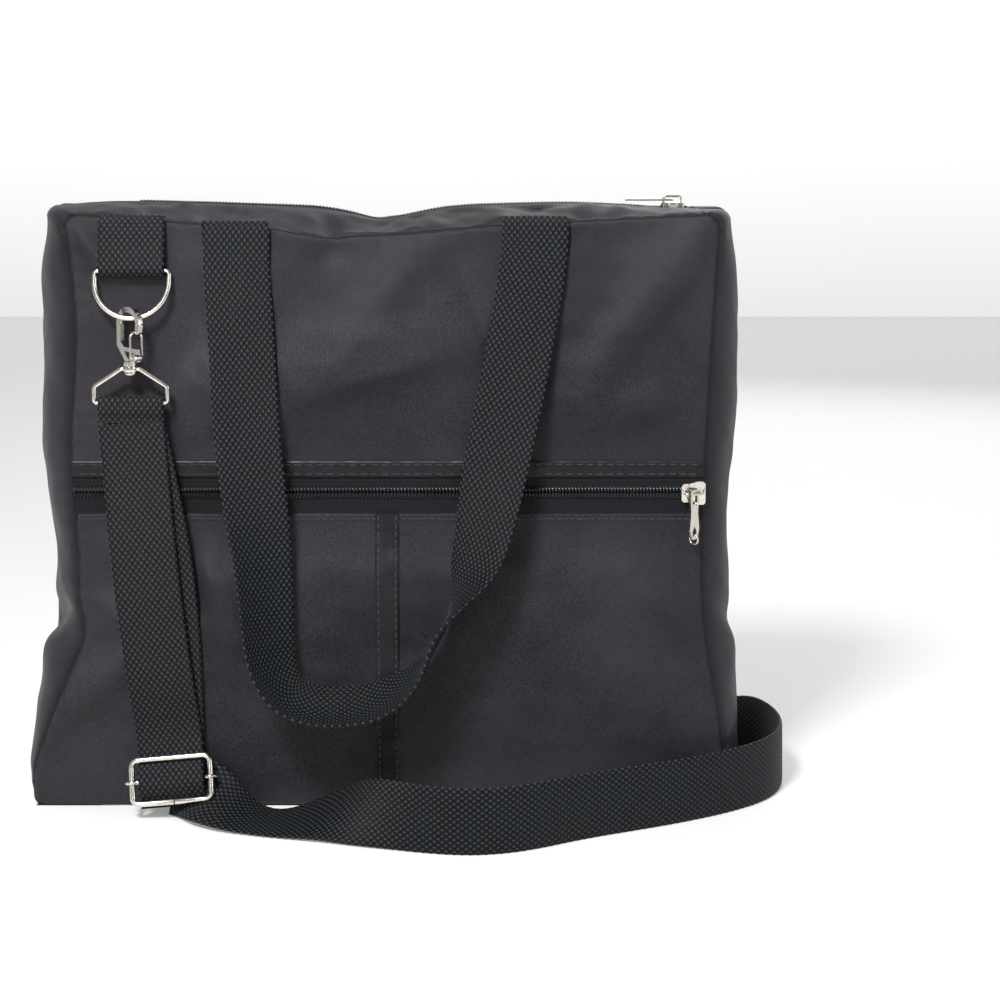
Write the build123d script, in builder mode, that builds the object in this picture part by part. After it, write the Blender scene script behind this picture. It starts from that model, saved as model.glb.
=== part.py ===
from build123d import *

# Zip-top portfolio bag with a front pocket, two carrying handles and a clip-on shoulder strap.
# Frame: origin at the centre of the base, +Z up, front towards -Y, +X to the right. Millimetres.

import os
from math import acos, atan2, cos, radians, sin, sqrt

# ---------------------------------------------------------------- bag body
panel_width = 304.0
panel_height = 276.0
bag_depth = 80.0
cloth = 1.0  # coated cloth with its backing
gusset_cloth = 1.2
gusset_puff = 15.0  # how far the side gussets swell at mid depth
top_crown = 5.0
shoulder_radius = 16.0  # where the top rolls into the sides
panel_top_radius = 8.0
panel_foot_radius = 5.0
top_end_height = 18.0  # of the side that the stiff top end takes
top_end_length = 26.0  # of the top that it takes
board_thickness = 2.4
board_margin = 2.0

# ---------------------------------------------------------------- zips
tape = 0.7
tape_width = 13.0
tape_hem = 3.0  # of the tape sewn in behind the pocket's edges
tape_ease = 0.05  # under the curved flap
coil_height = 2.4
coil_width = 2.7  # one side of the chain
chain_gap = 0.8  # between the two sides
coil_ridge = 0.7
slider_clearance = 0.3
slider_length = 11.0
slider_plate = 1.1
slider_wall = 0.9
slider_flare = 1.1  # the wide end over the narrow end, each side
slider_corner = 1.4
divider_ease = 0.18
divider_length = 3.0
divider_inset = 0.7  # from the slider's mouth
bail_radius = 0.6
bail_rise = 2.9
bail_span = 8.4
pull_length = 22.5
pull_width = 5.6
pull_foot_width = 6.6
pull_waist = 0.4
pull_waist_place = 10.0  # below the crossbar
pull_toe = 1.2
pull_corner = 0.9
pull_thickness = 0.9
pull_slot_width = 3.2
pull_slot_length = 5.4
pull_crossbar = 1.1
pull_hole_radius = 1.5
pull_hole_height = 19.4  # from the crossbar to the hole
pull_hole_rise = 3.1  # of the hole's point over its round end
pull_hole_flank = (0.8, 0.6)  # where its straight flanks leave the round end, in radii
pull_twist = 45.0  # turn of the hanging pull out of its sideways plane
pull_ring_radius = 2.35
pull_ring_wire = 0.45
pull_ring_hang = 0.85  # ring centre below the rim that it hangs on
stop_length = 1.6
stop_gap = 0.2
flap_gap = 0.3
window_ease = 0.6  # slider to flap edge
main_tape_end = 4.0  # from the side of the bag
main_slot_end = 7.5
main_stop_room = 2.7  # from the end of the chain to the end of the slot
main_slider_park = 0.8  # from the slider to the end of the chain
pocket_chain_end = 1.5  # from the side of the bag
pocket_slider_park = 2.0

# ---------------------------------------------------------------- front pocket
pocket_zip_height = 150.0
pocket_ease = 0.5  # slider to pocket backing
trim = 0.8
trim_inset = 1.5
trim_overlap = 4.6  # up over the upper panel's edge
zip_trim_height = 7.5
centre_trim_width = 11.0
centre_trim_x = 1.0

# ---------------------------------------------------------------- webbing
web_width = 30.0
web = 1.6
web_ease = 0.25  # between webbing and the wire that it goes round

# ---------------------------------------------------------------- handles
handle_reach = 70.0  # centre of each handle end from the middle
handle_ease = 0.3  # hinge line in front of the sewn-down anchors
handle_fold = 0.2
anchor_height = 9.0
handle_hang = 223.0  # lowest webbing centre below the hinge line
handle_lean = 3.5  # the hanging handle stands off the panel, so the pocket's slider passes behind it
handle_left_run = 15.0  # how far each leg closes in on its way down
handle_right_run = 44.0
handle_bend = 24.0

# ---------------------------------------------------------------- ring, hook and swivel loop
tab_side = 37.0  # from the side of the bag to the middle of the ring tab
tab_length = 23.0
tab_gap = 0.15
tab_hem = 1.0  # of the tab's length past its slanted sides, under the seam
ring_gap = 0.1
ring_wire = 1.25
ring_room = 2.0  # ring over half the webbing's width
ring_side = 5.0
ring_corner = 2.0
ring_tilt = 14.0
hook_aside = 0.5  # swivel axis from the middle of the ring
hook_forward = 0.18
hook_hang = 2.75  # bow centre below the ring's lowest wire
hook_yaw = 42.0
hook_thickness = 2.4
hook_limb = 2.5
hook_mouth = 5.6  # inner radius of the hook's bow
hook_bow_height = 20.4  # bow centre over the swivel loop
hook_neck = (1.5, 1.0)  # first turn over the collar, out and up
hook_limb_foot = 11.0
hook_tip_in = 0.5
hook_tip_drop = 3.0
hook_cup = 1.9  # width of the cup and of the gate's strut
hook_cup_high = 12.5
hook_cup_turn = (-3.4, 9.2)
hook_cup_end = 8.6
strut_foot = (1.0, 0.4)
strut_top = 9.2
collar_radius = 3.3
collar_height = 2.0
pin_radius = 1.5
pin_fit = 0.08
rivet_head_radius = 2.7
rivet_head = 1.5
swivel_gap = 0.2
gate_wire = 0.55
gate_half = 3.3
gate_pivot = (4.6, 5.2)
gate_fit = 0.12
gate_tip_gap = 0.1
gate_overlap = 0.4  # of the gate past the hook's tip
gate_pin = 1.3  # how deep each end of the gate sits in its lug
gate_foot_bend = 0.9
gate_bend = 2.4
lug_radius = 2.0
lug_half = 2.3
loop_wire = 1.15
loop_room = 1.7  # loop over half the webbing's width
loop_corner = 1.7
loop_drop = 15.6
loop_shoulder = 8.2
loop_neck = 4.2
loop_boss_radius = 3.3
loop_boss = 2.4
fold_length = 9.0

# ---------------------------------------------------------------- strap slider
frame_wire = 1.35
frame_room = 3.2  # frame over half the webbing's width
frame_half_height = 10.0
frame_corner = 3.2
bar_wire = 0.9
bar_ease = 0.2
bar_curl = 130.0
bar_eye_turn = 20.0
strap_end_length = 13.0
wire_joint = 0.5
wire_joint_place = 1.0  # from the middle of the lower bar
pass_ease = 0.3
pass_bend = 1.5
pass_rise = 1.6  # half of the stretch in front of the bar
pass_inset = 0.5  # of its folds, inside the frame's upper and lower bars
slider_entry = 16.0
slider_exit = 11.0
layer_gap = 0.3
slider_aside = 17.0  # from the hook's axis
slider_out = 17.5  # from the front of the bag
slider_height = 18.5
slider_lean = 17.0
slider_tilt = 5.0

# ---------------------------------------------------------------- lie of the loose strap
floor_ease = 0.2
front_run = 250.5  # from the slider to the right side of the bag, as the route below is drawn

# ---------------------------------------------------------------- worked out
half_width = panel_width / 2
half_depth = bag_depth / 2
band_half = half_depth - cloth  # gussets end behind the panels
front_face = -half_depth
tape_face = front_face + cloth  # outer face of the pocket zip's tape
backing_face = tape_face + tape + slider_clearance + slider_wall + pocket_ease
crown_top = panel_height + top_crown
crown_radius = (band_half**2 + top_crown**2) / (2 * top_crown)
crown_fall = crown_radius - sqrt(crown_radius**2 - tape_width**2)
top_tape_face = crown_top - gusset_cloth - crown_fall - tape_ease
gusset_seam = panel_height - top_end_height
chain_half = chain_gap / 2 + coil_width
channel_half = chain_half + slider_clearance
plate_low = coil_height + slider_clearance
bail_top = plate_low + slider_plate + bail_rise
zip_window = channel_half + slider_flare + slider_wall + window_ease  # half width of the open slot
pocket_window = tape_width - tape_hem
flap_half = half_width - top_end_length
main_tape_half = half_width - main_tape_end
main_slot_half = half_width - main_slot_end
main_chain_half = main_slot_half - main_stop_room
main_slider_x = main_chain_half - main_slider_park - slider_length / 2
pocket_chain_half = half_width - pocket_chain_end
pocket_slider_x = pocket_chain_half - pocket_slider_park - slider_length / 2
eye_radius = ring_wire + web_ease + web
bar_y = front_face - eye_radius - ring_gap
bar_z = panel_height - tab_length
tab_x = tab_side - half_width
ring_half = web_width / 2 + ring_room
ring_reach = ring_side + ring_half
ring_low_y = bar_y - ring_reach * sin(radians(ring_tilt))
ring_low_z = bar_z - ring_reach * cos(radians(ring_tilt))
hook_x = tab_x - hook_aside
hook_y = ring_low_y - hook_forward
loop_z = ring_low_z - hook_hang - hook_bow_height
loop_half = web_width / 2 + loop_room
frame_half_width = web_width / 2 + frame_room
bar_set_back = frame_wire + bar_ease + bar_wire
pass_back = frame_wire + pass_ease + web / 2
pass_front = bar_wire + web_ease + web + pass_ease + web / 2 - bar_set_back
slider_centre = (hook_x + slider_aside, front_face - slider_out, slider_height)

os.makedirs("parts", exist_ok=True)


# ================================================================= bag body
def bag_block(inset):
    """The bag's volume between its panels, shrunk by inset: bulging sides, crowned top, rolled shoulders."""
    side = half_width - inset
    top = panel_height - inset
    with BuildPart(mode=Mode.PRIVATE) as block:
        with BuildSketch(Plane.XY.offset(inset)):
            with BuildLine():
                Line((-side, -band_half), (side, -band_half))
                ThreePointArc((side, -band_half), (side + gusset_puff, 0), (side, band_half))
                Line((side, band_half), (-side, band_half))
                ThreePointArc((-side, band_half), (-side - gusset_puff, 0), (-side, -band_half))
            make_face()
        extrude(amount=crown_top)
        with BuildSketch(Plane.YZ):
            with BuildLine():
                Polyline((band_half, top), (band_half, -1), (-band_half, -1), (-band_half, top))
                ThreePointArc((-band_half, top), (0, top + top_crown), (band_half, top))
            make_face()
        extrude(amount=panel_width, both=True, mode=Mode.INTERSECT)
        with BuildSketch(Plane.XZ):
            with Locations((0, top + top_crown)):
                RectangleRounded(
                    2 * (side + gusset_puff),
                    top + top_crown + shoulder_radius,
                    shoulder_radius - inset,
                    align=(Align.CENTER, Align.MAX),
                )
        extrude(amount=bag_depth, both=True, mode=Mode.INTERSECT)
    return block.part


outer_block = bag_block(0)
inner_block = bag_block(gusset_cloth)


def panel_outline():
    """The outline shared by every panel: small round foot corners and larger top corners."""
    rectangle = Rectangle(panel_width, panel_height, align=(Align.CENTER, Align.MIN))
    corners = rectangle.vertices().sort_by(Axis.Y)
    fillet(corners[2:], panel_top_radius)
    fillet(corners[:2], panel_foot_radius)


front_plane = Plane.XZ.offset(half_depth - cloth)  # its normal points to the front

with BuildPart() as back_panel:
    with BuildSketch(Plane.XZ.offset(-half_depth)):
        panel_outline()
    extrude(amount=cloth)
back_panel.part.label = "back_panel"
export_step(back_panel.part, "parts/back_panel.step")

with BuildPart() as front_upper_panel:
    with BuildSketch(front_plane):
        panel_outline()
        Rectangle(
            panel_width, pocket_zip_height + pocket_window, align=(Align.CENTER, Align.MIN), mode=Mode.SUBTRACT
        )
    extrude(amount=cloth)
front_upper_panel.part.label = "front_upper_panel"
export_step(front_upper_panel.part, "parts/front_upper_panel.step")

with BuildPart() as pocket_panel:
    with BuildSketch(front_plane):
        panel_outline()
        with Locations((0, pocket_zip_height - pocket_window)):
            Rectangle(panel_width, panel_height, align=(Align.CENTER, Align.MIN), mode=Mode.SUBTRACT)
    extrude(amount=cloth)
pocket_panel.part.label = "pocket_panel"
export_step(pocket_panel.part, "parts/pocket_panel.step")

with BuildPart() as pocket_backing:
    with BuildSketch(Plane.XZ.offset(-backing_face)):
        with Locations((0, gusset_cloth)):
            RectangleRounded(
                panel_width - 2 * gusset_cloth,
                panel_height - 2 * gusset_cloth,
                shoulder_radius,
                align=(Align.CENTER, Align.MIN),
            )
    extrude(amount=-cloth)
pocket_backing.part.label = "pocket_backing"
export_step(pocket_backing.part, "parts/pocket_backing.step")

with BuildPart() as gusset_bottom:
    add(inner_block)
    split(bisect_by=Plane.XY.offset(2 * gusset_cloth), keep=Keep.BOTTOM)
    floor_face = gusset_bottom.faces().sort_by(Axis.Z)[0]
    extrude(floor_face, amount=gusset_cloth, mode=Mode.REPLACE)
gusset_bottom.part.label = "gusset_bottom"
export_step(gusset_bottom.part, "parts/gusset_bottom.step")

for side_name, sign in (("left", -1), ("right", 1)):
    with BuildPart() as side_gusset:
        add(outer_block)
        add(inner_block, mode=Mode.SUBTRACT)
        add(gusset_bottom.part, mode=Mode.SUBTRACT)
        split(bisect_by=Plane.XY.offset(gusset_seam), keep=Keep.BOTTOM)
        split(bisect_by=Plane.YZ, keep=Keep.TOP if sign > 0 else Keep.BOTTOM)
    side_gusset.part.label = f"gusset_{side_name}"
    export_step(side_gusset.part, f"parts/gusset_{side_name}.step")

    with BuildPart() as top_end:
        add(outer_block)
        add(inner_block, mode=Mode.SUBTRACT)
        split(bisect_by=Plane.XY.offset(gusset_seam), keep=Keep.TOP)
        edge_plane = Plane.YZ.offset(sign * (flap_half + flap_gap))
        split(bisect_by=edge_plane, keep=Keep.TOP if sign > 0 else Keep.BOTTOM)
        with BuildSketch(Plane.XY.offset(crown_top)):
            with Locations((sign * flap_half, 0)):
                Rectangle(2 * (main_slot_half - flap_half), 2 * zip_window)
        extrude(amount=-2 * top_crown, mode=Mode.SUBTRACT)
    top_end.part.label = f"top_end_{side_name}"
    export_step(top_end.part, f"parts/top_end_{side_name}.step")

with BuildPart() as base_board:
    with BuildSketch(Plane.XY.offset(gusset_cloth)):
        with Locations((0, (backing_face + cloth + band_half) / 2)):
            RectangleRounded(
                panel_width - 2 * gusset_cloth - 2 * board_margin,
                band_half - backing_face - cloth - 2 * board_margin,
                panel_foot_radius,
            )
    extrude(amount=board_thickness)
base_board.part.label = "base_board"
export_step(base_board.part, "parts/base_board.step")

# ================================================================= top flaps and main zip
for flap_name, sign in (("front", -1), ("back", 1)):
    with BuildPart() as flap:
        with BuildSketch(Plane.YZ):
            with BuildLine():
                flap_out = CenterArc((0, crown_top - crown_radius), crown_radius, 0, 180)
                flap_in = CenterArc((0, crown_top - crown_radius), crown_radius - gusset_cloth, 0, 180)
                Line(flap_out @ 0, flap_in @ 0)
                Line(flap_out @ 1, flap_in @ 1)
            make_face()
            with Locations((sign * (zip_window + band_half - flap_gap) / 2, crown_top)):
                Rectangle(band_half - flap_gap - zip_window, 3 * top_crown, mode=Mode.INTERSECT)
        extrude(amount=flap_half, both=True)
    flap.part.label = f"top_flap_{flap_name}"
    export_step(flap.part, f"parts/top_flap_{flap_name}.step")


def zip_half(plane, sign, start, end, chain_start, chain_end):
    """One side of a zip along the plane's x axis: its tape and its half of the chain."""
    tape_centre = sign * (chain_gap / 2 + tape_width) / 2
    with BuildPart(plane, mode=Mode.PRIVATE) as band:
        with BuildSketch(plane):
            with Locations(((start + end) / 2, tape_centre)):
                Rectangle(end - start, tape_width - chain_gap / 2)
        extrude(amount=-tape)
    with BuildPart(mode=Mode.PRIVATE) as chain:
        with BuildSketch(plane):
            with Locations(((chain_start + chain_end) / 2, sign * (chain_gap + coil_width) / 2)):
                Rectangle(chain_end - chain_start, coil_width)
        extrude(amount=coil_height)
        fillet(chain.edges().filter_by(Axis.X), coil_ridge)
    return band.part, chain.part


main_plane = Plane(origin=(0, 0, top_tape_face), x_dir=(1, 0, 0), z_dir=(0, 0, 1))
pocket_plane = Plane(origin=(0, tape_face, pocket_zip_height), x_dir=(1, 0, 0), z_dir=(0, -1, 0))

for flap_name, sign in (("front", -1), ("back", 1)):
    tape_half, chain_side = zip_half(main_plane, sign, -flap_half, flap_half, -flap_half, flap_half)
    tape_half.label = f"main_zip_tape_{flap_name}"
    export_step(tape_half, f"parts/main_zip_tape_{flap_name}.step")
    chain_side.label = f"main_zip_chain_{flap_name}"
    export_step(chain_side, f"parts/main_zip_chain_{flap_name}.step")

end_start = flap_half + flap_gap
end_halves = [
    zip_half(main_plane, sign, end_start, main_tape_half, end_start, main_chain_half) for sign in (-1, 1)
]

with BuildPart() as main_zip_tape_ends:
    for tape_half, chain_side in end_halves:
        add(tape_half)
    mirror(about=Plane.YZ)
main_zip_tape_ends.part.label = "main_zip_tape_ends"
export_step(main_zip_tape_ends.part, "parts/main_zip_tape_ends.step")

with BuildPart() as main_zip_chain_ends:
    for tape_half, chain_side in end_halves:
        add(chain_side)
    mirror(about=Plane.YZ)
main_zip_chain_ends.part.label = "main_zip_chain_ends"
export_step(main_zip_chain_ends.part, "parts/main_zip_chain_ends.step")

with BuildPart() as main_zip_stops:
    with BuildSketch(main_plane):
        with Locations((main_chain_half + stop_gap + stop_length / 2, 0)):
            Rectangle(stop_length, 2 * chain_half)
    extrude(amount=coil_height)
    fillet(main_zip_stops.edges().filter_by(Axis.Z), coil_ridge)
    mirror(about=Plane.YZ)
main_zip_stops.part.label = "main_zip_stops"
export_step(main_zip_stops.part, "parts/main_zip_stops.step")

for half_name, sign in (("upper", 1), ("lower", -1)):
    span = (-pocket_chain_half, pocket_chain_half)
    tape_half, chain_side = zip_half(pocket_plane, sign, *span, *span)
    tape_half.label = f"pocket_zip_tape_{half_name}"
    export_step(tape_half, f"parts/pocket_zip_tape_{half_name}.step")
    chain_side.label = f"pocket_zip_chain_{half_name}"
    export_step(chain_side, f"parts/pocket_zip_chain_{half_name}.step")


def zip_slider(plane):
    """A coil-zip slider centred on the plane's origin: wide mouth at +x, pull bail along x."""
    mouth = slider_length / 2
    narrow = channel_half
    wide = channel_half + slider_flare
    floor = -tape - slider_clearance

    def shield(wall):
        """Top view of the slider, grown by wall at the sides: straight tail, flared rounded mouth."""
        Polygon(
            (-mouth, narrow + wall),
            (-mouth / 3, narrow + wall),
            (mouth / 3, wide + wall),
            (mouth, wide + wall),
            (mouth, -wide - wall),
            (mouth / 3, -wide - wall),
            (-mouth / 3, -narrow - wall),
            (-mouth, -narrow - wall),
            align=None,
        )

    with BuildPart(mode=Mode.PRIVATE) as slider:
        with BuildSketch(plane.offset(slider_clearance)) as outline:
            shield(slider_wall)
            fillet(outline.vertices(), slider_corner)
        extrude(amount=plate_low + slider_plate - slider_clearance)
        with BuildSketch(plane.offset(slider_clearance)):
            shield(0)
        extrude(amount=plate_low - slider_clearance, mode=Mode.SUBTRACT)
        with BuildSketch(plane.offset(floor - slider_wall)) as base:
            shield(slider_wall)
            fillet(base.vertices(), slider_corner)
        extrude(amount=slider_wall)
        with BuildSketch(plane.offset(floor)):
            with Locations((mouth - divider_inset - divider_length / 2, 0)):
                Rectangle(divider_length, chain_gap - 2 * divider_ease)
        extrude(amount=plate_low - floor)
        with BuildLine(Plane(origin=plane.origin, x_dir=plane.x_dir, z_dir=-plane.y_dir)) as bail:
            FilletPolyline(
                (-bail_span / 2, plate_low + slider_plate / 2),
                (-bail_span / 2, bail_top),
                (bail_span / 2, bail_top),
                (bail_span / 2, plate_low + slider_plate / 2),
                radius=2 * bail_radius,
            )
        with BuildSketch(Plane(origin=bail.line @ 0, z_dir=bail.line % 0)):
            Circle(bail_radius)
        sweep(path=bail.line)
    return slider.part


def pull_plate(plane):
    """A stamped pull: its crossbar at the plane's origin, its blade along -y."""
    half = pull_width / 2
    foot = pull_foot_width / 2
    flank_x, flank_y = (share * pull_hole_radius for share in pull_hole_flank)
    with BuildPart(mode=Mode.PRIVATE) as pull:
        with BuildSketch(plane) as blade:
            Polygon(
                (-half, pull_crossbar / 2),
                (half, pull_crossbar / 2),
                (half, -pull_slot_length),
                (half - pull_waist, -pull_waist_place),
                (foot, pull_hole_radius - pull_hole_height),
                (foot - pull_toe, -pull_length),
                (pull_toe - foot, -pull_length),
                (-foot, pull_hole_radius - pull_hole_height),
                (pull_waist - half, -pull_waist_place),
                (-half, -pull_slot_length),
                align=None,
            )
            fillet(blade.vertices(), pull_corner)
            with Locations((0, -(pull_crossbar / 2 + pull_slot_length / 2))):
                RectangleRounded(pull_slot_width, pull_slot_length, pull_corner, mode=Mode.SUBTRACT)
            with Locations((0, -pull_hole_height)):
                Circle(pull_hole_radius, mode=Mode.SUBTRACT)
                Polygon(
                    (-flank_x, flank_y),
                    (flank_x, flank_y),
                    (0, pull_hole_rise),
                    align=None,
                    mode=Mode.SUBTRACT,
                )
        extrude(amount=pull_thickness / 2, both=True)
    return pull.part


main_slider = zip_slider(main_plane.move(Location((main_slider_x, 0, 0))))
main_slider.label = "main_zip_slider"
export_step(main_slider, "parts/main_zip_slider.step")

main_pull_height = top_tape_face + plate_low + slider_plate + (bail_rise - bail_radius) / 2
main_pull = pull_plate(Plane(origin=(main_slider_x, 0, main_pull_height), x_dir=(0, -1, 0), z_dir=(0, 0, 1)))
main_pull.label = "main_zip_pull"
export_step(main_pull, "parts/main_zip_pull.step")

pocket_slider = zip_slider(pocket_plane.move(Location((pocket_slider_x, 0, 0))))
pocket_slider.label = "pocket_zip_slider"
export_step(pocket_slider, "parts/pocket_zip_slider.step")

pocket_bail_y = tape_face - bail_top
hang = pull_crossbar / 2 + bail_radius + slider_clearance
twist = radians(pull_twist)
pocket_pull_plane = Plane(
    origin=(pocket_slider_x, pocket_bail_y, pocket_zip_height + hang),
    x_dir=(sin(twist), cos(twist), 0),
    z_dir=(cos(twist), -sin(twist), 0),
)
pocket_pull = pull_plate(pocket_pull_plane)
pocket_pull.label = "pocket_zip_pull"
export_step(pocket_pull, "parts/pocket_zip_pull.step")

pull_rim = pull_length - pull_hole_height - pull_hole_radius
rim_height = pocket_zip_height + hang - pull_hole_height - pull_hole_radius - pull_rim / 2
pull_ring_centre = (pocket_slider_x, pocket_bail_y, rim_height - pull_ring_hang)
with BuildPart() as pocket_pull_ring:
    with BuildSketch(Plane(origin=pull_ring_centre, x_dir=(0, 0, 1), z_dir=pocket_pull_plane.z_dir)):
        with Locations((pull_ring_radius, 0)):
            Circle(pull_ring_wire)
    revolve(axis=Axis(pull_ring_centre, pocket_pull_plane.x_dir))
pocket_pull_ring.part.label = "pocket_pull_ring"
export_step(pocket_pull_ring.part, "parts/pocket_pull_ring.step")

# ================================================================= pocket trims
with BuildPart() as zip_trim:
    with BuildSketch(front_plane.offset(cloth)):
        with Locations((0, pocket_zip_height + pocket_window + trim_overlap)):
            Rectangle(panel_width - 2 * trim_inset, zip_trim_height, align=(Align.CENTER, Align.MAX))
    extrude(amount=trim)
zip_trim.part.label = "zip_trim"
export_step(zip_trim.part, "parts/zip_trim.step")

with BuildPart() as centre_trim:
    with BuildSketch(front_plane.offset(cloth)):
        with Locations((centre_trim_x, 0)):
            Rectangle(
                centre_trim_width, pocket_zip_height - pocket_window, align=(Align.CENTER, Align.MIN)
            )
    extrude(amount=trim)
centre_trim.part.label = "centre_trim"
export_step(centre_trim.part, "parts/centre_trim.step")

# ================================================================= handles
handle_axis_y = front_face - web - handle_ease
lean_out = radians(handle_lean)
hinge_plane = Plane(
    origin=(0, handle_axis_y, panel_height), x_dir=(1, 0, 0), z_dir=(0, -cos(lean_out), sin(lean_out))
)

for handle_name, turn in (("front", 0), ("back", 180)):
    with BuildPart() as handle:
        with BuildSketch(hinge_plane.offset(handle_fold)):
            with BuildLine():
                FilletPolyline(
                    (-handle_reach, 0),
                    (handle_left_run - handle_reach, -handle_hang),
                    (handle_reach - handle_right_run, -handle_hang),
                    (handle_reach, 0),
                    radius=handle_bend,
                )
            trace(line_width=web_width)
            Rectangle(panel_width, panel_height, align=(Align.CENTER, Align.MAX), mode=Mode.INTERSECT)
        extrude(amount=web)
    placed = handle.part.rotate(Axis.Z, turn)
    placed.label = f"handle_{handle_name}"
    export_step(placed, f"parts/handle_{handle_name}.step")

    with BuildPart() as anchors:
        with BuildSketch(Plane.XZ.offset(half_depth)):
            with Locations((-handle_reach, panel_height), (handle_reach, panel_height)):
                Rectangle(web_width, anchor_height, align=(Align.CENTER, Align.MAX))
        extrude(amount=web)
    placed = anchors.part.rotate(Axis.Z, turn)
    placed.label = f"handle_anchors_{handle_name}"
    export_step(placed, f"parts/handle_anchors_{handle_name}.step")


# ================================================================= rings, hooks and loops
def webbing_eye(plane, wire_radius, reach):
    """Webbing doubled round a wire at the plane's origin, its two layers meeting towards +y."""
    inner = wire_radius + web_ease
    outer = inner + web
    far = sqrt(web**2 + reach**2)
    slant = atan2(reach, web) - acos(outer / far)
    touch = (outer * cos(slant), outer * sin(slant))
    run = (web - touch[0], reach - touch[1])
    inner_touch = (inner * cos(slant), inner * sin(slant))
    meet = inner_touch[1] - inner_touch[0] / run[0] * run[1]
    with BuildPart(mode=Mode.PRIVATE) as eye:
        with BuildSketch(plane):
            Circle(outer)
            Polygon((-web, reach), (web, reach), touch, (0, 0), (-touch[0], touch[1]), align=None)
            Circle(inner, mode=Mode.SUBTRACT)
            Polygon(
                (0, meet), inner_touch, (0, 0), (-inner_touch[0], inner_touch[1]), align=None, mode=Mode.SUBTRACT
            )
        extrude(amount=web_width / 2, both=True)
    return eye.part


def round_wire(line, radius):
    """A wire of round section along a line."""
    with BuildPart(mode=Mode.PRIVATE) as wire:
        with BuildSketch(Plane(origin=line @ 0, z_dir=line % 0)):
            Circle(radius)
        sweep(path=line)
    return wire.part


def save_both_ends(part, name):
    """The front piece, and the same piece half a turn round at the rear."""
    for end, turn in (("front", 0), ("rear", 180)):
        placed = part.rotate(Axis.Z, turn)
        placed.label = f"{name}_{end}"
        export_step(placed, f"parts/{name}_{end}.step")


tab_lean = (front_face - web - tab_gap - bar_y) / tab_length
tab_plane = Plane(
    origin=(tab_x, bar_y, bar_z), x_dir=(0, sqrt(1 - tab_lean**2), -tab_lean), z_dir=(1, 0, 0)
)
ring_tab = webbing_eye(tab_plane, ring_wire, tab_length - tab_hem)
save_both_ends(ring_tab, "ring_tab")

tilt = radians(ring_tilt)
ring_plane = Plane(origin=(tab_x, bar_y, bar_z), x_dir=(1, 0, 0), z_dir=(0, -cos(tilt), sin(tilt)))
with BuildLine(ring_plane) as ring_path:
    FilletPolyline(
        (-ring_half, -ring_side), (-ring_half, 0), (ring_half, 0), (ring_half, -ring_side), radius=ring_corner
    )
    ThreePointArc((ring_half, -ring_side), (0, -ring_side - ring_half), (-ring_half, -ring_side))
d_ring = round_wire(ring_path.wire(), ring_wire)
save_both_ends(d_ring, "d_ring")

yaw = radians(hook_yaw)
hook_plane = Plane(
    origin=(hook_x, hook_y, loop_z), x_dir=(cos(yaw), -sin(yaw), 0), z_dir=(-sin(yaw), -cos(yaw), 0)
)
loop_plane = Plane(origin=(hook_x, hook_y, loop_z), x_dir=(1, 0, 0), z_dir=(0, -1, 0))
seat = loop_boss / 2 + swivel_gap
collar_top = seat + collar_height
limb_centre = hook_mouth + hook_limb / 2
hook_tip = (limb_centre - hook_tip_in, hook_bow_height - hook_tip_drop)

with BuildPart() as hook_body:
    with BuildSketch(hook_plane):
        with BuildLine():
            Polyline(
                (0, collar_top),
                (-hook_neck[0], collar_top + hook_neck[1]),
                (-limb_centre, hook_limb_foot),
                (-limb_centre, hook_bow_height),
            )
            bow = CenterArc((0, hook_bow_height), limb_centre, 180, -180)
            Line(bow @ 1, hook_tip)
        trace(line_width=hook_limb)
        with BuildLine():
            Polyline((-limb_centre, hook_cup_high), hook_cup_turn, (gate_pivot[0], hook_cup_end))
        trace(line_width=hook_cup)
        with BuildLine():
            Polyline((strut_foot[0], collar_top + strut_foot[1]), gate_pivot, (gate_pivot[0], strut_top))
        trace(line_width=hook_cup)
        with Locations(hook_tip):
            Circle(hook_limb / 2)
        with Locations(gate_pivot):
            Circle(lug_radius)
    extrude(amount=hook_thickness / 2, both=True)
    with BuildSketch(hook_plane):
        with Locations(gate_pivot):
            Circle(lug_radius)
    extrude(amount=lug_half, both=True)
    with BuildSketch(Plane(origin=hook_plane.origin, z_dir=(0, 0, 1)).offset(seat)):
        Circle(collar_radius)
    extrude(amount=collar_height)
    with BuildSketch(Plane(origin=hook_plane.origin, z_dir=(0, 0, 1)).offset(seat)):
        Circle(pin_radius)
    extrude(amount=collar_height, mode=Mode.SUBTRACT)
    with BuildSketch(hook_plane):
        with Locations(gate_pivot):
            Circle(gate_wire + gate_fit)
    extrude(amount=2 * lug_half, both=True, mode=Mode.SUBTRACT)
save_both_ends(hook_body.part, "hook_body")

with BuildPart() as hook_rivet:
    with BuildSketch(Plane(origin=hook_plane.origin, z_dir=(0, 0, 1)).offset(-seat)):
        Circle(pin_radius)
    extrude(amount=seat + collar_top)
    with BuildSketch(Plane(origin=hook_plane.origin, z_dir=(0, 0, -1)).offset(seat)):
        Circle(rivet_head_radius)
    extrude(amount=rivet_head)
    fillet(hook_rivet.edges().group_by(Axis.Z)[0], rivet_head / 2)
save_both_ends(hook_rivet.part, "hook_rivet")

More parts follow.
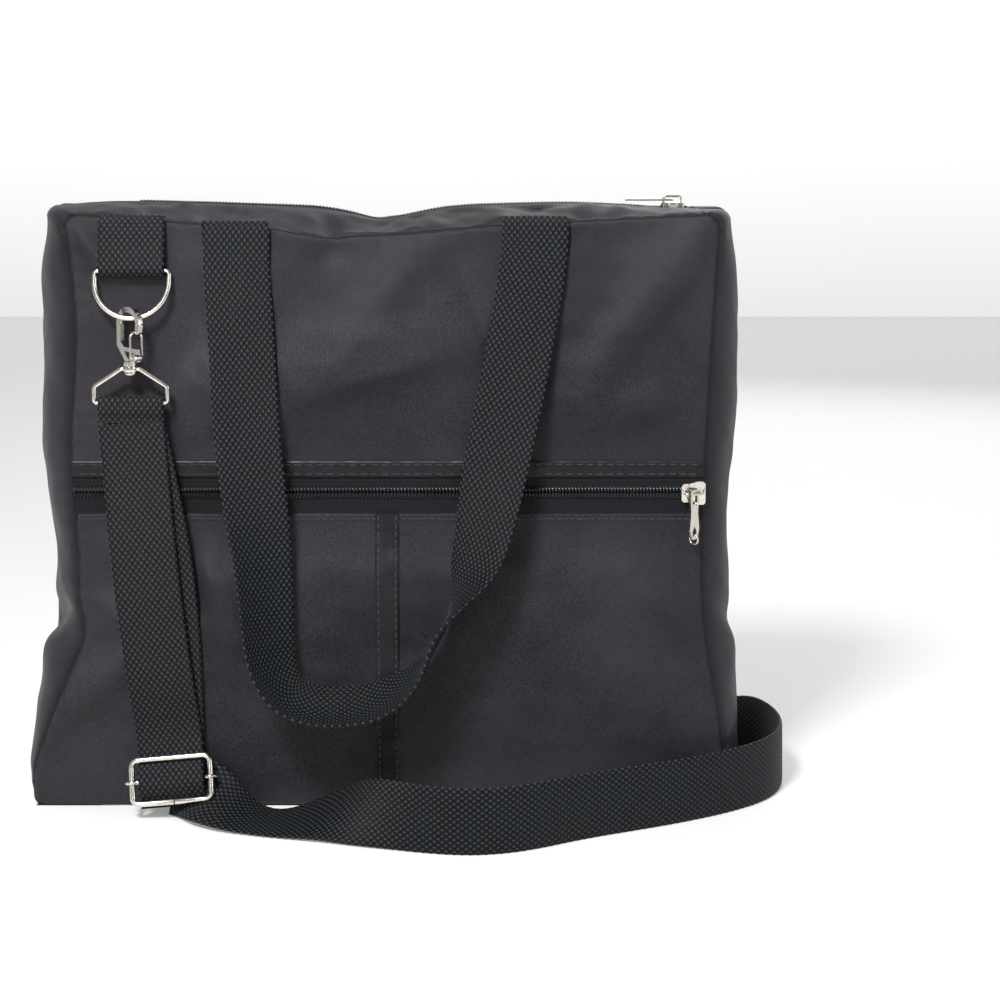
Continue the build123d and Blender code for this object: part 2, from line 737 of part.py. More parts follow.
tip_x = hook_tip[0] - hook_limb / 2 - gate_wire - gate_tip_gap
gate_reach = (tip_x - gate_pivot[0], hook_tip[1] - gate_overlap - gate_pivot[1])
gate_length = sqrt(gate_reach[0] ** 2 + gate_reach[1] ** 2)
gate_up = hook_plane.x_dir * (gate_reach[0] / gate_length) + Vector(0, 0, gate_reach[1] / gate_length)
gate_origin = hook_plane.from_local_coords(Vector(gate_pivot[0], gate_pivot[1], 0))
gate_plane = Plane(origin=gate_origin, x_dir=hook_plane.z_dir, z_dir=hook_plane.z_dir.cross(gate_up))
with BuildLine(gate_plane) as gate_path:
    FilletPolyline(
        (gate_pin - lug_half, 0),
        (-gate_half, 0),
        (-gate_half, gate_length),
        (gate_half, gate_length),
        (gate_half, 0),
        (lug_half - gate_pin, 0),
        radius=(gate_foot_bend, gate_bend, gate_bend, gate_foot_bend),
    )
hook_gate = round_wire(gate_path.wire(), gate_wire)
save_both_ends(hook_gate, "hook_gate")

with BuildLine(loop_plane) as loop_path:
    FilletPolyline(
        (loop_neck, 0),
        (loop_half, -loop_shoulder),
        (loop_half, -loop_drop),
        (-loop_half, -loop_drop),
        (-loop_half, -loop_shoulder),
        (-loop_neck, 0),
        radius=loop_corner,
        close=True,
    )
with BuildPart() as swivel_loop:
    add(round_wire(loop_path.wire(), loop_wire))
    with BuildSketch(Plane(origin=loop_plane.origin, z_dir=(0, 0, 1))):
        Circle(loop_boss_radius)
    extrude(amount=loop_boss / 2, both=True)
    with BuildSketch(Plane(origin=loop_plane.origin, z_dir=(0, 0, 1))):
        Circle(pin_radius + pin_fit)
    extrude(amount=2 * loop_boss, both=True, mode=Mode.SUBTRACT)
save_both_ends(swivel_loop.part, "swivel_loop")

fold_plane = Plane(origin=(hook_x, hook_y, loop_z - loop_drop), x_dir=(0, 1, 0), z_dir=(-1, 0, 0))
strap_fold = webbing_eye(fold_plane, loop_wire, fold_length)
save_both_ends(strap_fold, "strap_fold")

# ================================================================= strap slider
lean = radians(slider_lean)
tip = radians(slider_tilt)
frame_x = Vector(cos(tip), 0, sin(tip))
frame_up = Vector(-sin(tip) * cos(lean), sin(lean), cos(tip) * cos(lean))
frame_plane = Plane(origin=slider_centre, x_dir=frame_x, z_dir=frame_x.cross(frame_up))
frame_up = frame_plane.y_dir
frame_out = frame_plane.z_dir

with BuildLine(frame_plane) as frame_path:
    FilletPolyline(
        (frame_half_width, frame_half_height),
        (frame_half_width, -frame_half_height),
        (-frame_half_width, -frame_half_height),
        (-frame_half_width, frame_half_height),
        radius=frame_corner,
        close=True,
    )
with BuildPart() as strap_slider_frame:
    add(round_wire(frame_path.wire(), frame_wire))
    with BuildSketch(frame_plane):
        with Locations((wire_joint_place, -frame_half_height)):
            Rectangle(wire_joint, 4 * frame_wire)
    extrude(amount=2 * frame_wire, both=True, mode=Mode.SUBTRACT)
strap_slider_frame.part.label = "strap_slider_frame"
export_step(strap_slider_frame.part, "parts/strap_slider_frame.step")

bar_plane = Plane(origin=slider_centre, x_dir=frame_plane.x_dir, z_dir=-frame_up)
with BuildLine(bar_plane) as bar_path:
    right_curl = CenterArc((frame_half_width, 0), bar_set_back, bar_curl, -90 - bar_curl)
    left_curl = CenterArc((-frame_half_width, 0), bar_set_back, -90, -90 - bar_curl)
    Line(right_curl @ 1, left_curl @ 0)
strap_slider_bar = round_wire(bar_path.wire(), bar_wire)
strap_slider_bar.label = "strap_slider_bar"
export_step(strap_slider_bar, "parts/strap_slider_bar.step")

eye_turn = radians(bar_eye_turn)
eye_up = frame_up * cos(eye_turn) - frame_out * sin(eye_turn)
bar_centre = Vector(*slider_centre) - frame_out * bar_set_back
eye_plane = Plane(origin=bar_centre, x_dir=eye_up.cross(frame_plane.x_dir), z_dir=frame_plane.x_dir)
strap_end_eye = webbing_eye(eye_plane, bar_wire, strap_end_length)
strap_end_eye.label = "strap_end_eye"
export_step(strap_end_eye, "parts/strap_end_eye.step")

# ================================================================= shoulder strap
def ribbon(planes):
    """Webbing through flat sections, one on each plane, its width along the plane's x axis."""
    with BuildPart(mode=Mode.PRIVATE) as band:
        for start, end in zip(planes, planes[1:]):
            for plane in (start, end):
                with BuildSketch(plane):
                    Rectangle(web_width, web)
            loft(ruled=True)
    return band.part


fold_foot = loop_z - loop_drop - fold_length - layer_gap
layer_offset = (web + layer_gap) / 2
entry = frame_plane.origin + frame_up * slider_entry - frame_out * pass_back
outer_start = Plane(origin=(hook_x, hook_y - layer_offset, fold_foot), x_dir=(1, 0, 0), z_dir=(0, 0, 1))
outer_end = Plane(origin=entry, x_dir=frame_plane.x_dir, z_dir=frame_up)

pass_plane = Plane(origin=slider_centre, x_dir=frame_out, z_dir=-frame_plane.x_dir)
pass_turn = frame_half_height - pass_inset
with BuildPart() as strap_outer_layer:
    with BuildSketch(pass_plane):
        with BuildLine():
            FilletPolyline(
                (-pass_back, slider_entry),
                (-pass_back, pass_turn),
                (pass_front, pass_rise),
                (pass_front, -pass_rise),
                (-pass_back, -pass_turn),
                (-pass_back, -slider_exit),
                radius=pass_bend,
            )
        trace(line_width=web)
    extrude(amount=web_width / 2, both=True)
    add(ribbon([outer_end, outer_start]))
strap_outer_layer.part.label = "strap_outer_layer"
export_step(strap_outer_layer.part, "parts/strap_outer_layer.step")

inner_start = Plane(origin=(hook_x, hook_y + layer_offset, fold_foot), x_dir=(1, 0, 0), z_dir=(0, 0, 1))
inner_end = Plane(origin=bar_centre + eye_up * (strap_end_length + layer_gap), x_dir=frame_plane.x_dir, z_dir=eye_up)
strap_inner_layer = ribbon([inner_end, inner_start])
strap_inner_layer.label = "strap_inner_layer"
export_step(strap_inner_layer, "parts/strap_inner_layer.step")


def station(centre, heading, up_edge):
    """A section plane of a free ribbon: its centre, where it heads, and where its upper edge lies."""
    heading = Vector(*heading).normalized()
    up_edge = Vector(*up_edge)
    across = (up_edge - heading * up_edge.dot(heading)).normalized()
    return Plane(origin=centre, x_dir=across, z_dir=heading)


def laid(x, y, heading, up_edge):
    """A section plane of the loose strap where it rests on the floor on its lower edge or corner."""
    plane = station((x, y, 0), heading, up_edge)
    height = floor_ease + web_width / 2 * abs(plane.x_dir.Z) + web / 2 * abs(plane.y_dir.Z)
    return Plane(origin=(x, y, height), x_dir=plane.x_dir, z_dir=plane.z_dir)


stretch = (half_width - slider_centre[0]) / front_run
side_x = half_width + gusset_puff
on_edge = (0, 0, 1)
floor_stations = []
for along, out, heading, up_edge in (
    (1.5, 9.0, (1, -0.1, 0), (0, 0.35, 0.94)),
    (20.5, 13.5, (0.95, -0.3, 0), (0.1, 0.6, 0.78)),
    (40.5, 28.0, (1, -0.2, -0.1), (0.1, 0.88, 0.38)),
    (60.5, 32.0, (1, -0.15, 0), (0, 0.97, 0.24)),
    (77.5, 40.0, (1, -0.4, 0), (0, 0.82, 0.55)),
    (93.5, 52.0, (1, -0.4, 0), (0, 0.35, 0.93)),
    (113.5, 62.0, (1, -0.3, 0), on_edge),
    (140.5, 67.0, (1, 0, 0), on_edge),
    (161.5, 62.0, (0.95, 0.35, 0), on_edge),
    (186.5, 48.0, (0.9, 0.45, 0), on_edge),
    (220.5, 31.0, (0.9, 0.44, 0), on_edge),
    (252.5, 13.0, (0.83, 0.56, 0), on_edge),
):
    floor_stations.append(laid(slider_centre[0] + along * stretch, front_face - out, heading, up_edge))
floor_stations += [
    laid(side_x + 16, front_face + 15, (0.5, 0.87, 0), on_edge),
    laid(side_x + 24, front_face + 46, (0, 1, 0), on_edge),
    laid(side_x + 18, half_depth - 6, (-0.45, 0.9, 0), (0.1, 0.1, 0.97)),
    laid(side_x + 3, half_depth + 13, (-0.85, 0.5, 0), (0.2, 0.5, 0.75)),
    laid(half_width - 5, half_depth + 20, (-1, 0.05, 0), (0, 1, 0.28)),
]
strap_floor_run = ribbon(floor_stations)
strap_floor_run.label = "strap_floor_run"
export_step(strap_floor_run, "parts/strap_floor_run.step")

rear_hook_x = -hook_x
rear_hook_y = -hook_y
rear_start = laid(half_width - 5 - layer_gap, half_depth + 20, (-1, 0.05, 0), (0, 1, 0.28))
rear_stations = [
    rear_start,
    station((rear_hook_x + 15.5, half_depth + 20, 8.5), (-0.85, 0, 0.4), (0, 1, 0)),
    station((rear_hook_x + 4.5, half_depth + 19.5, 22.0), (-0.3, 0, 0.95), (0, 1, 0)),
    station((rear_hook_x + 1.5, half_depth + 18, 55.0), (0, -0.04, 1), (-0.3, 1, 0)),
    station((rear_hook_x + 0.5, half_depth + 13.5, fold_foot - 70), (0, -0.05, 1), (-0.8, 0.6, 0)),
    station((rear_hook_x, rear_hook_y + 0.9, fold_foot - 24), (0, 0, 1), (-1, 0.08, 0)),
    station((rear_hook_x, rear_hook_y, fold_foot), (0, 0, 1), (-1, 0, 0)),
]
strap_rear_run = ribbon(rear_stations)
strap_rear_run.label = "strap_rear_run"
export_step(strap_rear_run, "parts/strap_rear_run.step")
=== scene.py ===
from math import cos, pi, radians, sin

import bpy
import numpy as np
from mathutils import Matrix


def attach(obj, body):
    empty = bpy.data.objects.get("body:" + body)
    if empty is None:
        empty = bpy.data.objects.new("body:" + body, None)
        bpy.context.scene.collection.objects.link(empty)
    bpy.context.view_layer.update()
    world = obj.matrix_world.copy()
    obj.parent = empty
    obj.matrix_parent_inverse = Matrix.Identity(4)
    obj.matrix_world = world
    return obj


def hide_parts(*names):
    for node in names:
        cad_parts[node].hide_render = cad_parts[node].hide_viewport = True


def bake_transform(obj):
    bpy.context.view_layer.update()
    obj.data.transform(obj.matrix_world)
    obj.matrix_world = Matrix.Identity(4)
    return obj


# Looks of a soft zip-top portfolio bag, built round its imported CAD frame.
# Lengths below are millimetres in the CAD's own frame; add_mesh turns them into metres.

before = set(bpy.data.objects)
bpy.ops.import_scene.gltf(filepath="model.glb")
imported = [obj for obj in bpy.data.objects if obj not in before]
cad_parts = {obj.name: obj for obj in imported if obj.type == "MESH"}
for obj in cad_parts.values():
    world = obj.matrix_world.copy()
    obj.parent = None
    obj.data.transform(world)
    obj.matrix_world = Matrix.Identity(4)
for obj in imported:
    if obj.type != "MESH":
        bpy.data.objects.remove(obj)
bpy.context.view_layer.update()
scene = bpy.context.scene
scene.view_settings.view_transform = "Standard"

MM = 0.001
HALF_WIDTH, PANEL_TOP = 152.0, 276.0
TOP_RADIUS, FOOT_RADIUS = 8.0, 5.0  # of a panel's corners
FRONT, SEAM_Y = -40.0, 39.0  # front face of the panels, and the seams' distance from mid depth
CROWN = 5.0  # of the top over its seams
SINK = 2.6  # depth of the groove where a gusset meets a panel
SINK_WIDTH = 1.2
POCKET_TOP, UPPER_FOOT = 140.0, 160.0  # hems on either side of the pocket's zip
POCKET_ZIP_Y, POCKET_ZIP_Z = -39.15, 150.0  # face and middle line of the pocket zip's tape
BACKING_Y = -36.7  # front face of the cloth behind the pocket
CLOTH_THICKNESS, SIDE_THICKNESS = 0.9, 1.1  # of the panels, and of the stiffer gussets
SLOT_END = 143.9  # of the opening that the main zip lies in
SLOT_SIDE = 6.0  # from the middle of the main zip to the hem of a flap
MAIN_ZIP_SINK = 1.8  # of its tape under the top
ZIP_SPLIT = 126.0  # where the main zip's tapes leave the flaps for the top ends
WEB_WIDTH, WEB = 30.0, 1.6
SHARP_ANGLE = radians(55)  # between faces that are shaded as an edge
ROUND = 0.998  # keeps a rolled edge's slope finite


# ================================================================ small tools
def smooth(value):
    value = np.clip(value, 0.0, 1.0)
    return value * value * (3 - 2 * value)


def bell(distance, width):
    return np.exp(-((distance / width) ** 2))


def table(pairs):
    """A smooth curve through (place, value) pairs, as a function of place."""
    places, values = (np.array(column, float) for column in zip(*sorted(pairs)))
    slopes = np.gradient(values, places)

    def at(place):
        place = np.clip(place, places[0], places[-1])
        i = np.clip(np.searchsorted(places, place) - 1, 0, len(places) - 2)
        step = places[i + 1] - places[i]
        s = (place - places[i]) / step
        return (
            values[i] * (1 + 2 * s) * (1 - s) ** 2
            + slopes[i] * step * s * (1 - s) ** 2
            + values[i + 1] * s * s * (3 - 2 * s)
            - slopes[i + 1] * step * s * s * (1 - s)
        )

    return at


def spline(points, spacing):
    """Natural cubic curve through the rows of points, resampled to even spacing of its first three columns."""
    points = np.array(points, float)
    knots = np.r_[0, np.cumsum(np.linalg.norm(np.diff(points[:, :3], axis=0), axis=1))]
    n = len(points)
    h = np.diff(knots)
    matrix, right = np.zeros((n, n)), np.zeros((n, points.shape[1]))
    matrix[0, 0] = matrix[-1, -1] = 1
    for i in range(1, n - 1):
        matrix[i, i - 1 : i + 2] = h[i - 1], 2 * (h[i - 1] + h[i]), h[i]
        right[i] = 6 * ((points[i + 1] - points[i]) / h[i] - (points[i] - points[i - 1]) / h[i - 1])
    bend = np.linalg.solve(matrix, right)

    def at(place):
        i = np.clip(np.searchsorted(knots, place) - 1, 0, n - 2)
        a, b, step = (knots[i + 1] - place)[:, None], (place - knots[i])[:, None], h[i][:, None]
        return (
            (bend[i] * a**3 + bend[i + 1] * b**3) / (6 * step)
            + (points[i] / step - bend[i] * step / 6) * a
            + (points[i + 1] / step - bend[i + 1] * step / 6) * b
        )

    fine = at(np.linspace(0, knots[-1], 40 * n))
    length = np.r_[0, np.cumsum(np.linalg.norm(np.diff(fine[:, :3], axis=0), axis=1))]
    count = max(2, int(round(length[-1] / spacing)) + 1)
    even = np.interp(np.linspace(0, length[-1], count), length, np.linspace(0, knots[-1], 40 * n))
    return at(even)


def unit(vectors):
    return vectors / np.linalg.norm(vectors, axis=-1, keepdims=True)


def ripple(a, b, seed, wavelength, count=7):
    """Soft random unevenness of about -1 to 1."""
    random = np.random.default_rng(seed)
    total = np.zeros(np.broadcast(a, b).shape)
    for _ in range(count):
        angle, phase = random.uniform(0, 2 * pi, 2)
        k = 2 * pi / (wavelength * random.uniform(0.7, 1.5))
        total = total + np.cos(k * (a * cos(angle) + b * sin(angle)) + phase)
    return total / count**0.5 / 1.2


def ridge(x, z, start, end, width, height, under=1.0):
    """A fold's crest from start to end: its upper flank is width wide, its lower one under times that."""
    start, end = np.array(start, float), np.array(end, float)
    run = end - start
    length = np.hypot(*run)
    along = ((x - start[0]) * run[0] + (z - start[1]) * run[1]) / length**2
    off = ((x - start[0]) * -run[1] + (z - start[1]) * run[0]) / length
    flip = 1 if run[0] > 0 else -1
    off = off * flip
    side = np.where(off > 0, width, width * under)
    past = np.maximum(np.maximum(-along, along - 1), 0) * length
    taper = 0.35 + 0.65 * np.sin(pi * np.clip(along, 0, 1)) ** 0.7
    return height * bell(off, side) * bell(past, width) * taper


def quads_of(rows, columns, start=0):
    index = np.arange(rows * columns).reshape(rows, columns) + start
    return np.stack([index[:-1, :-1], index[:-1, 1:], index[1:, 1:], index[1:, :-1]], -1).reshape(-1, 4)


def add_mesh(name, verts, quads, uv, material, slot):
    """A mesh object from millimetre points, quads and one uv per point in millimetres."""
    verts, quads = np.asarray(verts, float).reshape(-1, 3), np.asarray(quads, np.int32).reshape(-1, 4)
    mesh = bpy.data.meshes.new(name)
    mesh.vertices.add(len(verts))
    mesh.vertices.foreach_set("co", (verts * MM).astype(np.float32).ravel())
    mesh.loops.add(quads.size)
    mesh.loops.foreach_set("vertex_index", quads.ravel())
    mesh.polygons.add(len(quads))
    mesh.polygons.foreach_set("loop_start", np.arange(0, quads.size, 4, dtype=np.int32))
    mesh.polygons.foreach_set("use_smooth", np.ones(len(quads), bool))
    layer = mesh.uv_layers.new(name="UVMap")
    corners = np.asarray(uv, float).reshape(-1, 2)[quads.ravel()]
    layer.data.foreach_set("uv", (corners * MM).astype(np.float32).ravel())
    mesh.update(calc_edges=True)
    mesh.validate()
    mesh.materials.append(material)
    mesh.set_sharp_from_angle(angle=SHARP_ANGLE)
    piece = bpy.data.objects.new(name, mesh)
    scene.collection.objects.link(piece)
    return piece


def grid_normals(points):
    du, dv = np.gradient(points, axis=0), np.gradient(points, axis=1)
    return unit(np.cross(du, dv) + 1e-12)


def slab_quads(rows, columns):
    """Faces of a closed slab whose points are an upper grid followed by a lower one."""
    many = rows * columns
    index = np.arange(many).reshape(rows, columns)
    rim = np.concatenate([index[0, :-1], index[:-1, -1], index[-1, :0:-1], index[:0:-1, 0]])
    after = np.roll(rim, -1)
    wall = np.stack([rim, rim + many, after + many, after], -1)
    return np.concatenate([quads_of(rows, columns), quads_of(rows, columns, many)[:, ::-1], wall])


def shell(points, thickness, side=1):
    """Closed slab under a grid of points: its faces look along side times the grid's normal."""
    under = points - grid_normals(points) * side * thickness
    verts = np.concatenate([points.reshape(-1, 3), under.reshape(-1, 3)])
    quads = slab_quads(*points.shape[:2])
    return verts, quads if side > 0 else quads[:, ::-1]


def sheet(name, points, uv, thickness, side, material, slot):
    verts, quads = shell(points, thickness, side)
    return add_mesh(name, verts, quads, np.concatenate([uv.reshape(-1, 2)] * 2), material, slot)


def paint_seam_shade(piece, gap, width=1.1):
    """Painted shade along a sewn seam's groove, read by the cloth's finish as a darker colour: gap is each outer
    point's distance from it.
    """
    shade = bell(np.asarray(gap), width)
    layer = piece.data.attributes.new("seam", "FLOAT", "POINT")
    layer.data.foreach_set("value", doubled(shade).astype(np.float32))


def bend(piece, body_a, body_b, weights):
    """Bakes a piece's placement into its mesh; it does not bend it, and its bodies and weights are not used."""
    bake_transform(piece)
    return piece


def sew(piece, node, body="bag"):
    """Puts a piece in place of a CAD node, carried by a body."""
    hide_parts(node)
    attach(piece, body)
    return piece


def doubled(weights):
    """Weights of a closed sheet's two faces from those of its grid."""
    return np.r_[weights.ravel(), weights.ravel()]


def half_turn(rows):
    """Rows of place and width direction turned about the bag's vertical axis."""
    return np.array(rows, float) * ([-1, -1, 1, -1, -1, 1] + [1] * (len(rows[0]) - 6))


# ================================================================ materials
class Signal:
    """A node's output, which can be added to and multiplied."""

    def __init__(self, finish, socket):
        self.finish, self.socket = finish, socket

    def __add__(self, other):
        return self.finish.math("ADD", self, other)

    def __mul__(self, other):
        return self.finish.math("MULTIPLY", self, other)


class Finish:
    """A Principled material with a few helpers for its nodes. A noise's scale is a count in a metre."""

    def __init__(self, name, **constants):
        self.material = bpy.data.materials.new(name)
        self.material.use_nodes = True
        self.tree = self.material.node_tree
        self.shader = self.tree.nodes["Principled BSDF"]
        self.set(**constants)

    def put(self, value, socket):
        if isinstance(value, Signal):
            self.tree.links.new(value.socket, socket)
        else:
            socket.default_value = value

    def set(self, **values):
        """Sets or links the shader's own sockets."""
        for name, value in values.items():
            self.put(value, self.shader.inputs[name.replace("_", " ")])
        return self.material

    def node(self, kind, out=0, settings=None, **inputs):
        """The output of a new node, with its inputs linked or set by name, or by place as i0, i1 and so on."""
        made = self.tree.nodes.new(kind)
        for key, value in (settings or {}).items():
            setattr(made, key, value)
        for key, value in inputs.items():
            by_place = key[0] == "i" and key[1:].isdigit()
            self.put(value, made.inputs[int(key[1:]) if by_place else key.replace("_", " ")])
        return Signal(self, made.outputs[out])

    def math(self, operation, a, b=0.0):
        return self.node("ShaderNodeMath", settings={"operation": operation}, i0=a, i1=b)

    def place(self):
        return self.node("ShaderNodeTexCoord", out=3)

    def axis(self, vector, out):
        return self.node("ShaderNodeSeparateXYZ", out, i0=vector)

    def uv(self):
        return self.axis(self.node("ShaderNodeUVMap"), 0), self.axis(self.node("ShaderNodeUVMap"), 1)

    def noise(self, scale, detail=2.0, roughness=0.5):
        return self.node("ShaderNodeTexNoise", Vector=self.place(), Scale=scale, Detail=detail, Roughness=roughness)

    def cosine(self, value, period):
        """Of a coordinate in metres with its period in millimetres."""
        return self.math("COSINE", value * (2 * pi / (period * MM)))

    def half(self, value):
        """A cosine brought to 0 to 1."""
        return self.node("ShaderNodeMath", settings={"operation": "MULTIPLY_ADD"}, i0=value, i1=0.5, i2=0.5)

    def wave(self, value, period):
        return self.half(self.cosine(value, period))

    def ramp(self, value, *stops):
        made = self.tree.nodes.new("ShaderNodeValToRGB")
        self.put(value, made.inputs[0])
        elements = made.color_ramp.elements
        while len(elements) < len(stops):
            elements.new(0.5)
        for element, (place, colour) in zip(elements, stops):
            element.position = place
            element.color = (*colour, 1.0)
        return Signal(self, made.outputs[0])

    def mix(self, factor, a, b):
        """Plain colour b over colour a."""
        return self.node("ShaderNodeMix", 2, {"data_type": "RGBA"}, i0=factor, i6=a, i7=(*b, 1.0))

    def span(self, value, low, high):
        return self.node("ShaderNodeMapRange", Value=value, To_Min=low, To_Max=high)

    def bump(self, height, strength, distance):
        return self.node("ShaderNodeBump", Height=height, Strength=strength, Distance=distance * MM)


def cloth_finish():
    """Coated polyester twill: fine diagonal rib, faint crossing yarns, cloudy tone, painted shade along its seams.
    """
    f = Finish("coated_twill", Sheen_Weight=0.04, Sheen_Roughness=0.45, Specular_IOR_Level=0.20)
    f.set(Sheen_Tint=(0.86, 0.84, 0.9, 1.0))
    dark, light, seam_painted_shade = (0.0036, 0.0034, 0.0048), (0.0270, 0.0252, 0.0300), (0.0012, 0.0012, 0.0016)
    u, v = f.uv()
    rib = f.wave(u + v, 1.25)
    yarn = f.wave(u, 0.62)
    speck = f.noise(1250.0, 3.0, roughness=0.7)
    tone = f.noise(16.0, 4.0) * 0.35 + rib * 0.18 + speck * 0.62
    lint = f.ramp(f.noise(700.0, 1.0), (0.0, (0, 0, 0)), (0.74, (0, 0, 0)), (0.82, (1, 1, 1)))
    colour = f.mix(lint * 0.10, f.ramp(tone, (0.44, dark), (0.70, light)), tuple(3.0 * c for c in light))
    # painted shade of the seams' grooves: the seam attribute darkens the colour along each seam
    seam = f.node("ShaderNodeAttribute", out=2, settings={"attribute_name": "seam"})
    height = rib * 0.75 + yarn * f.noise(2600.0) * 0.5 + speck * 0.6
    return f.set(
        Base_Color=f.mix(seam * 0.85, colour, seam_painted_shade),
        Roughness=f.span(f.noise(45.0, 3.0), 0.39, 0.54),
        Normal=f.bump(height, 1.0, 0.16),
    )


def webbing_finish():
    """Coarse webbing: its colour holds a painted highlight on each raised yarn crossing and painted shade in the
    pits between.
    """
    f = Finish("webbing_weave", Sheen_Weight=0.03, Sheen_Roughness=0.4, Specular_IOR_Level=0.15)
    u, v = f.uv()
    knots = f.half(f.cosine(u, 2.7) * f.cosine(v, 3.5))
    fuzz = f.noise(3000.0)
    strands = f.wave(v + u * 0.35, 0.44)
    # painted shade in the pits, a painted half tone on the flanks and a painted highlight on the crests of the
    # knots
    pit_painted_shade, flank, crest = (0.0008, 0.0009, 0.0012), (0.0044, 0.0050, 0.0058), (0.038, 0.046, 0.050)
    colour = f.ramp(knots, (0.26, pit_painted_shade), (0.58, flank), (0.93, crest))
    return f.set(
        Base_Color=f.mix(f.noise(28.0, 3.0) * 0.2, colour, (0.006, 0.007, 0.0085)),
        Roughness=f.span(fuzz, 0.42, 0.62),
        Normal=f.bump(knots * 0.8 + strands * fuzz * 0.5, 0.8, 0.45),
    )


def vinyl_finish():
    f = Finish("trim_vinyl", Specular_IOR_Level=0.22, Coat_Weight=0.03, Coat_Roughness=0.25)
    cells = f.node("ShaderNodeTexVoronoi", Vector=f.place(), Scale=1500.0)
    return f.set(
        Base_Color=f.ramp(f.noise(30.0, 3.0), (0.3, (0.004, 0.004, 0.0055)), (0.75, (0.009, 0.009, 0.012))),
        Roughness=f.span(f.noise(260.0, 3.0), 0.30, 0.5),
        Normal=f.bump(cells + f.noise(400.0), 0.3, 0.10),
    )


def tape_finish():
    f = Finish("zip_tape_weave", Sheen_Weight=0.02, Sheen_Roughness=0.4, Specular_IOR_Level=0.13)
    u, v = f.uv()
    height = f.wave(u, 0.9) + f.wave(v, 1.9) * 0.6
    return f.set(
        Base_Color=f.ramp(height, (0.2, (0.003, 0.0033, 0.0043)), (1.0, (0.008, 0.009, 0.0105))),
        Roughness=f.span(f.noise(900.0), 0.5, 0.7),
        Normal=f.bump(height, 0.6, 0.12),
    )


def coil_finish():
    f = Finish("zip_coil_nylon", Specular_IOR_Level=0.5)
    return f.set(
        Base_Color=f.ramp(f.noise(90.0), (0.3, (0.008, 0.009, 0.010)), (0.8, (0.018, 0.020, 0.022))),
        Roughness=f.span(f.noise(1200.0), 0.28, 0.45),
        Normal=f.bump(f.noise(2400.0), 0.25, 0.06),
    )


def thread_finish():
    f = Finish("stitch_thread", Sheen_Weight=0.1, Sheen_Roughness=0.4)
    u, v = f.uv()
    twist = f.wave(u + v, 0.5)
    return f.set(
        Base_Color=f.ramp(twist, (0.1, (0.013, 0.012, 0.014)), (0.9, (0.040, 0.037, 0.038))),
        Roughness=f.span(f.noise(1500.0), 0.4, 0.6),
        Normal=f.bump(twist, 0.6, 0.12),
    )


def nickel_finish():
    """Nickel plate: warm, slightly uneven, with hairline rubs and dull spots."""
    f = Finish("nickel_plate", Metallic=1.0)
    streaks = f.node("ShaderNodeMapping", Vector=f.place(), Scale=(900.0, 420.0, 160.0), Rotation=(0.4, 0.3, 0.9))
    rubs = f.node("ShaderNodeTexNoise", Vector=streaks, Scale=1.0, Detail=3.0)
    spots = f.noise(420.0, 4.0)
    return f.set(
        Base_Color=f.ramp(spots, (0.30, (0.60, 0.56, 0.49)), (0.50, (0.72, 0.68, 0.60)), (0.8, (0.78, 0.74, 0.67))),
        Roughness=f.span(rubs, 0.05, 0.13) + f.span(spots, 0.04, 0.14),
        Normal=f.bump(rubs, 0.06, 0.015),
    )


def board_finish():
    f = Finish("board_fibre")
    fibre = f.noise(500.0, 5.0)
    return f.set(
        Base_Color=f.ramp(fibre, (0.3, (0.030, 0.030, 0.030)), (0.8, (0.062, 0.060, 0.058))),
        Roughness=f.span(fibre, 0.6, 0.85),
        Normal=f.bump(fibre, 0.35, 0.2),
    )


CLOTH, WEBBING, VINYL, TAPE = cloth_finish(), webbing_finish(), vinyl_finish(), tape_finish()
COIL, THREAD, NICKEL, BOARD = coil_finish(), thread_finish(), nickel_finish(), board_finish()

# ================================================================ how the bag has settled
# Sideways place of each seam at a height.
LEFT_SEAM = table([
    (0, -165.5), (18, -165.4), (34, -160), (52.7, -152.9), (70, -146), (82, -141.2), (90, -141.0),
    (99, -142.6), (122, -143.2), (150, -145), (174, -145.6), (200, -143.8), (225, -142.6),
    (250, -144), (268, -146.4), (276, -148.9),
])
RIGHT_SEAM = table([
    (0, 160), (18, 159.5), (52, 154.5), (86, 149), (120, 147.6), (158, 148.4), (185, 149.9), (212, 151.1),
    (243, 153), (264, 154.2), (276, 155.0),
])
LEFT_BACK = table([(0, -158), (20, -157), (60, -150), (100, -147), (180, -146), (240, -148), (276, -151)])
RIGHT_BACK = table([(0, 157), (20, 156), (60, 150), (110, 146), (180, 147), (240, 149), (276, 152)])
# How far each side swells past its seams at mid depth.
LEFT_PUFF = table([
    (0, 5), (10, 6), (30, 11), (50, 16), (70, 18.5), (90, 18), (110, 16), (120, 15.5), (135, 17),
    (160, 19), (190, 19.5), (230, 20), (256, 17.5), (272, 12), (281, 9),
])
RIGHT_PUFF = table([
    (0, 6), (30, 11), (60, 15.5), (100, 17), (130, 16.5), (150, 16), (160, 16.2), (190, 17.5),
    (230, 15.5), (256, 12.5), (272, 8.5), (281, 7),
])
